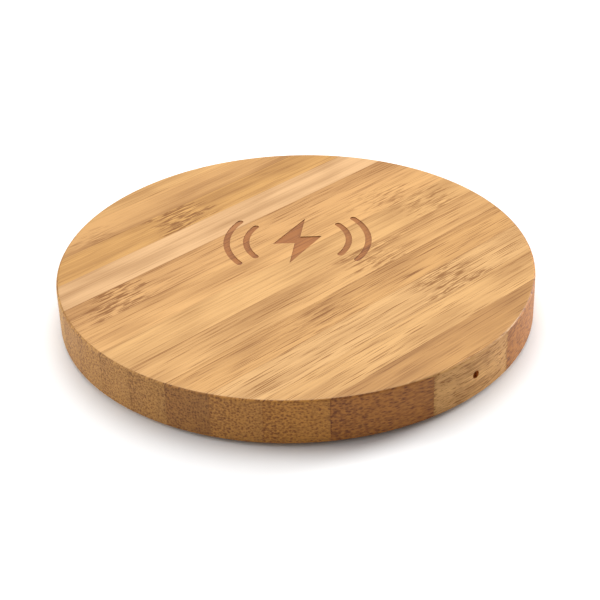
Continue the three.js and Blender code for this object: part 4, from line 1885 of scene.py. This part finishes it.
@dataclass
class ChargerBoard:
    """The board with all its components.

    Attributes:
        small: length and depth of the smallest chips.
        medium: length and depth of the resonant capacitors and the crystal.
        lead_pitch: distance between a driver's leads.
    """

    small: tuple[float, float] = (1.6 * MM, 0.8 * MM)
    medium: tuple[float, float] = (3.2 * MM, 2.5 * MM)
    lead_pitch: float = 1.27 * MM

    def parts(self) -> list[RingPart]:
        """Lists the components.

        Returns:
            Every component on the ring.
        """
        tantalum = functools.partial(
            MouldedPart,
            slot="tantalum",
            length=3.5 * MM,
            depth=2.8 * MM,
            body=YELLOW_EPOXY,
            lead_span=3.9 * MM,
            lead_width=2.2 * MM,
            along_length=True,
            band=0.8 * MM,
            sheet=0.1 * MM,
        )
        driver = functools.partial(
            MouldedPart,
            slot="chip_resin",
            length=4.9 * MM,
            depth=3.9 * MM,
            lead_places=tuple(p * self.lead_pitch for p in (-1.5, -0.5, 0.5, 1.5)),
        )
        resistor = functools.partial(ChipPart, slot="resistor_body", body=GLASS_GLAZE)
        length, depth = self.small
        return [
            *(ChipPart(n, "ceramic", *self.small) for n in numbered("ceramic_capacitor", 4)),
            *(resistor(n, length=length, depth=depth) for n in numbered("resistor", 4)),
            *(
                ChipPart(n, "ceramic", *self.medium, ends=0.5 * MM)
                for n in numbered("resonant_capacitor", 4)
            ),
            *(driver(n) for n in numbered("driver", 2)),
            *(tantalum(n) for n in numbered("input_capacitor", 2)),
            resistor("sense_resistor", length=6.3 * MM, depth=3.2 * MM, ends=0.7 * MM),
            FlatPackage("controller", "chip_resin", 5 * MM, 5 * MM),
            FlatPackage(
                "crystal", "tinned_steel", *self.medium, body=FIRED_CERAMIC, lid=0.86, lands=2
            ),
        ]

    def build(self) -> None:
        """Builds every component and the board's metal, and dresses the board."""
        parts = self.parts()
        for part in parts:
            part.build()
        BoardMetal().build([p for p in parts if isinstance(p, ChipPart)])
        dress(SOLDER_MASK, "circuit_board")


# ---- Port and light ----


@dataclass
class ChargingPort:
    """The USB micro-B receptacle's pressed shell, with slots beside its spring tongues.

    Attributes:
        sheet: thickness of the shell.
        slot: width and length of one slot.
        slot_inset: from the mouth to the slots.
        slot_places: the slots' places along X.
    """

    sheet: float = 0.3 * MM
    slot: tuple[float, float] = (0.25 * MM, 2.4 * MM)
    slot_inset: float = 0.8 * MM
    slot_places: tuple[float, ...] = (-2.6 * MM, -1.5 * MM, 1.5 * MM, 2.6 * MM)

    def build(self) -> None:
        """Builds the shell and dresses what is inside it."""
        low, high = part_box("port_shell")
        outer = PortOutline().prism(low.y, high.y)
        piece = make_object("pressed_port_shell", outer, TIN_PLATE.build())
        bore = PortOutline(grow=-self.sheet).prism(low.y - PAST, high.y + PAST)
        slots = bmesh.new()
        wide, long = self.slot
        near, under = high.y - self.slot_inset, high.z - self.sheet * 1.5
        for x in self.slot_places:
            left, right = x - wide / 2, x + wide / 2
            add_block(slots, (left, near - long, under), (right, near, high.z + PAST))
        combine(piece, [make_object("bore_tool", bore), make_object("slot_tool", slots)])
        dress(GLASS_FILLED_NYLON, "port_insulator")
        dress(GOLD_PLATE, *numbered("port_contact", 5))
        mount(piece, "tinned_steel", "port_shell")


@dataclass
class StatusLed:
    """The surface-mounted light: a white base with tinned ends under a milky lens.

    Attributes:
        ends: length of one end.
        base_share: how much of the height the base takes.
        skin: thickness of the tin over the base.
        ease: radius of the base's edges and of the lens's.
    """

    ends: float = 0.25 * MM
    base_share: float = 0.45
    skin: float = 0.01 * MM
    ease: tuple[float, float] = (0.03 * MM, 0.08 * MM)

    def build(self) -> None:
        """Builds the light and dresses its light pipe."""
        low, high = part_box("status_led")
        level = low.z + (high.z - low.z) * self.base_share
        left, right = low.x + self.ends, high.x - self.ends
        base_ease, lens_ease = self.ease
        skin = Vector((self.skin, self.skin, self.skin))
        bm = bmesh.new()
        add_block(bm, low + skin, Vector((high.x, high.y, level)) - skin, ease=base_ease)
        for near, far in ((low.x, left), (right, high.x)):
            add_block(bm, (near, low.y, low.z), (far, high.y, level), ease=base_ease, finish=1)
        lens_low = (left, low.y + 2 * self.skin, level - SEAT)
        lens_high = (right, high.y - 2 * self.skin, high.z)
        add_block(bm, lens_low, lens_high, ease=lens_ease, finish=2)
        finish_faces(bm)
        finishes = (FIRED_CERAMIC.build(), TIN_PLATE.build(), DIFFUSING_EPOXY.build())
        piece = make_object("chip_led", bm, *finishes)
        dress(CLEAR_ACRYLIC, "light_pipe")
        mount(piece, "led_resin", "status_led")


# ---- Stage ----


@dataclass(frozen=True)
class SoftBox:
    """One round soft box, placed as the camera sees the pad.

    Attributes:
        right: how far it stands to the camera's right.
        nearer: how far it stands towards the camera.
        size: its diameter.
        power: its power in watts.
    """

    name: str
    right: float
    nearer: float
    height: float
    size: float
    power: float


@dataclass
class Studio:
    """A pale floor, soft light and the camera.

    Attributes:
        azimuth: direction that the camera stands in, in degrees.
        elevation: how far it looks down, in degrees.
        roll: how far it leans, in degrees.
        lens: focal length in mm, on a sensor as wide as sensor.
        shift: how far the frame is moved off the lens's axis, as shares of its width.
        surround: strength of the light from all round.
        floor_grey: the floor's linear grey.
        floor_reach: from the floor's middle to its edge.
    """

    azimuth: float = -42.6
    elevation: float = 31.42
    roll: float = -1.885
    distance: float = 308.67 * MM
    target: tuple[float, float, float] = (0.0, 0.0, 5 * MM)
    lens: float = 91.97
    sensor: float = 36.0
    shift: tuple[float, float] = (0.0067, -0.0285)
    softboxes: tuple[SoftBox, ...] = (
        SoftBox("overhead_softbox", 0.0, -0.35, 0.85, 0.8, 7.2),
        SoftBox("right_softbox", 0.65, -0.4, 0.17, 0.3, 8.0),
        SoftBox("left_softbox", -0.8, -0.1, 0.3, 0.5, 4.7),
    )
    surround: float = 0.34
    floor_grey: float = 0.93
    floor_reach: float = 4.0

    def add_camera(self) -> None:
        """Adds the camera."""
        a, e, r = (math.radians(v) for v in (self.azimuth, self.elevation, self.roll))
        back = Vector((math.sin(a) * math.cos(e), -math.cos(a) * math.cos(e), math.sin(e)))
        side = UP.cross(back).normalized()
        rise = back.cross(side)
        right = math.cos(r) * side + math.sin(r) * rise
        up = -math.sin(r) * side + math.cos(r) * rise
        pose = Matrix((right, up, back)).transposed().to_4x4()
        pose.translation = Vector(self.target) + back * self.distance
        data = bpy.data.cameras.new("camera")
        data.lens = self.lens
        data.sensor_width = self.sensor
        data.shift_x, data.shift_y = self.shift
        data.clip_start = 10 * MM
        camera = bpy.data.objects.new("camera", data)
        camera.matrix_world = pose
        bpy.context.scene.collection.objects.link(camera)
        bpy.context.scene.camera = camera

    def add_lights(self) -> None:
        """Adds the soft boxes and a pale surround."""
        a = math.radians(self.azimuth)
        towards = Vector((math.sin(a), -math.cos(a), 0.0))
        right = UP.cross(towards)
        for box in self.softboxes:
            lamp = bpy.data.lights.new(box.name, "AREA")
            lamp.shape = "DISK"
            lamp.size = box.size
            lamp.energy = box.power
            obj = bpy.data.objects.new(box.name, lamp)
            obj.location = box.right * right + box.nearer * towards + box.height * UP
            obj.rotation_euler = (-obj.location).to_track_quat("-Z", "Y").to_euler()
            bpy.context.scene.collection.objects.link(obj)
        world = bpy.data.worlds.new("pale_surround")
        world.use_nodes = True
        background = world.node_tree.nodes["Background"]
        background.inputs["Color"].default_value = grey(1.0)
        background.inputs["Strength"].default_value = self.surround
        bpy.context.scene.world = world

    def add_floor(self) -> None:
        """Adds the floor: a matt, even white that keeps the shadow soft and plain."""
        material, _, shader = start_material("pale_floor")
        shader.inputs["Base Color"].default_value = grey(self.floor_grey)
        shader.inputs["Roughness"].default_value = 0.9
        bm = bmesh.new()
        bmesh.ops.create_grid(bm, x_segments=1, y_segments=1, size=self.floor_reach)
        make_object("floor", bm, material)

    def build(self) -> None:
        """Builds the stage."""
        self.add_camera()
        self.add_lights()
        self.add_floor()
        bpy.context.scene.view_settings.view_transform = "Standard"


def main() -> None:
    """Builds the pad and its stage in order."""
    logging.basicConfig(level=logging.INFO, format="%(name)s: %(message)s")
    Studio().build()
    Casing().build()
    BasePlate().build()
    for name in numbered("foot", 4):
        Foot().build(name)
    base_screw = Screw(
        ScrewHead.COUNTERSUNK, 2 * MM, 3.6 * MM, head_height=0.8 * MM, tip=1.2 * MM, pitch=0.7 * MM
    )
    for name in numbered("base_screw", 4):
        base_screw.build(name, points_up=True)
    board_screw = Screw(
        ScrewHead.PAN, 1.7 * MM, 3.2 * MM, head_height=1 * MM, tip=0.4 * MM, pitch=0.55 * MM
    )
    for name in numbered("board_screw", 3):
        board_screw.build(name, points_up=False)
    ChargingCoil().build()
    SupportFoam().build()
    dress(TRANSFER_TAPE, "coil_tape")
    dress(FERRITE, "ferrite_shield")
    dress(LitzCopper(), *numbered("coil_lead", 2))
    ChargerBoard().build()
    ChargingPort().build()
    StatusLed().build()


if __name__ == "__main__":
    main()
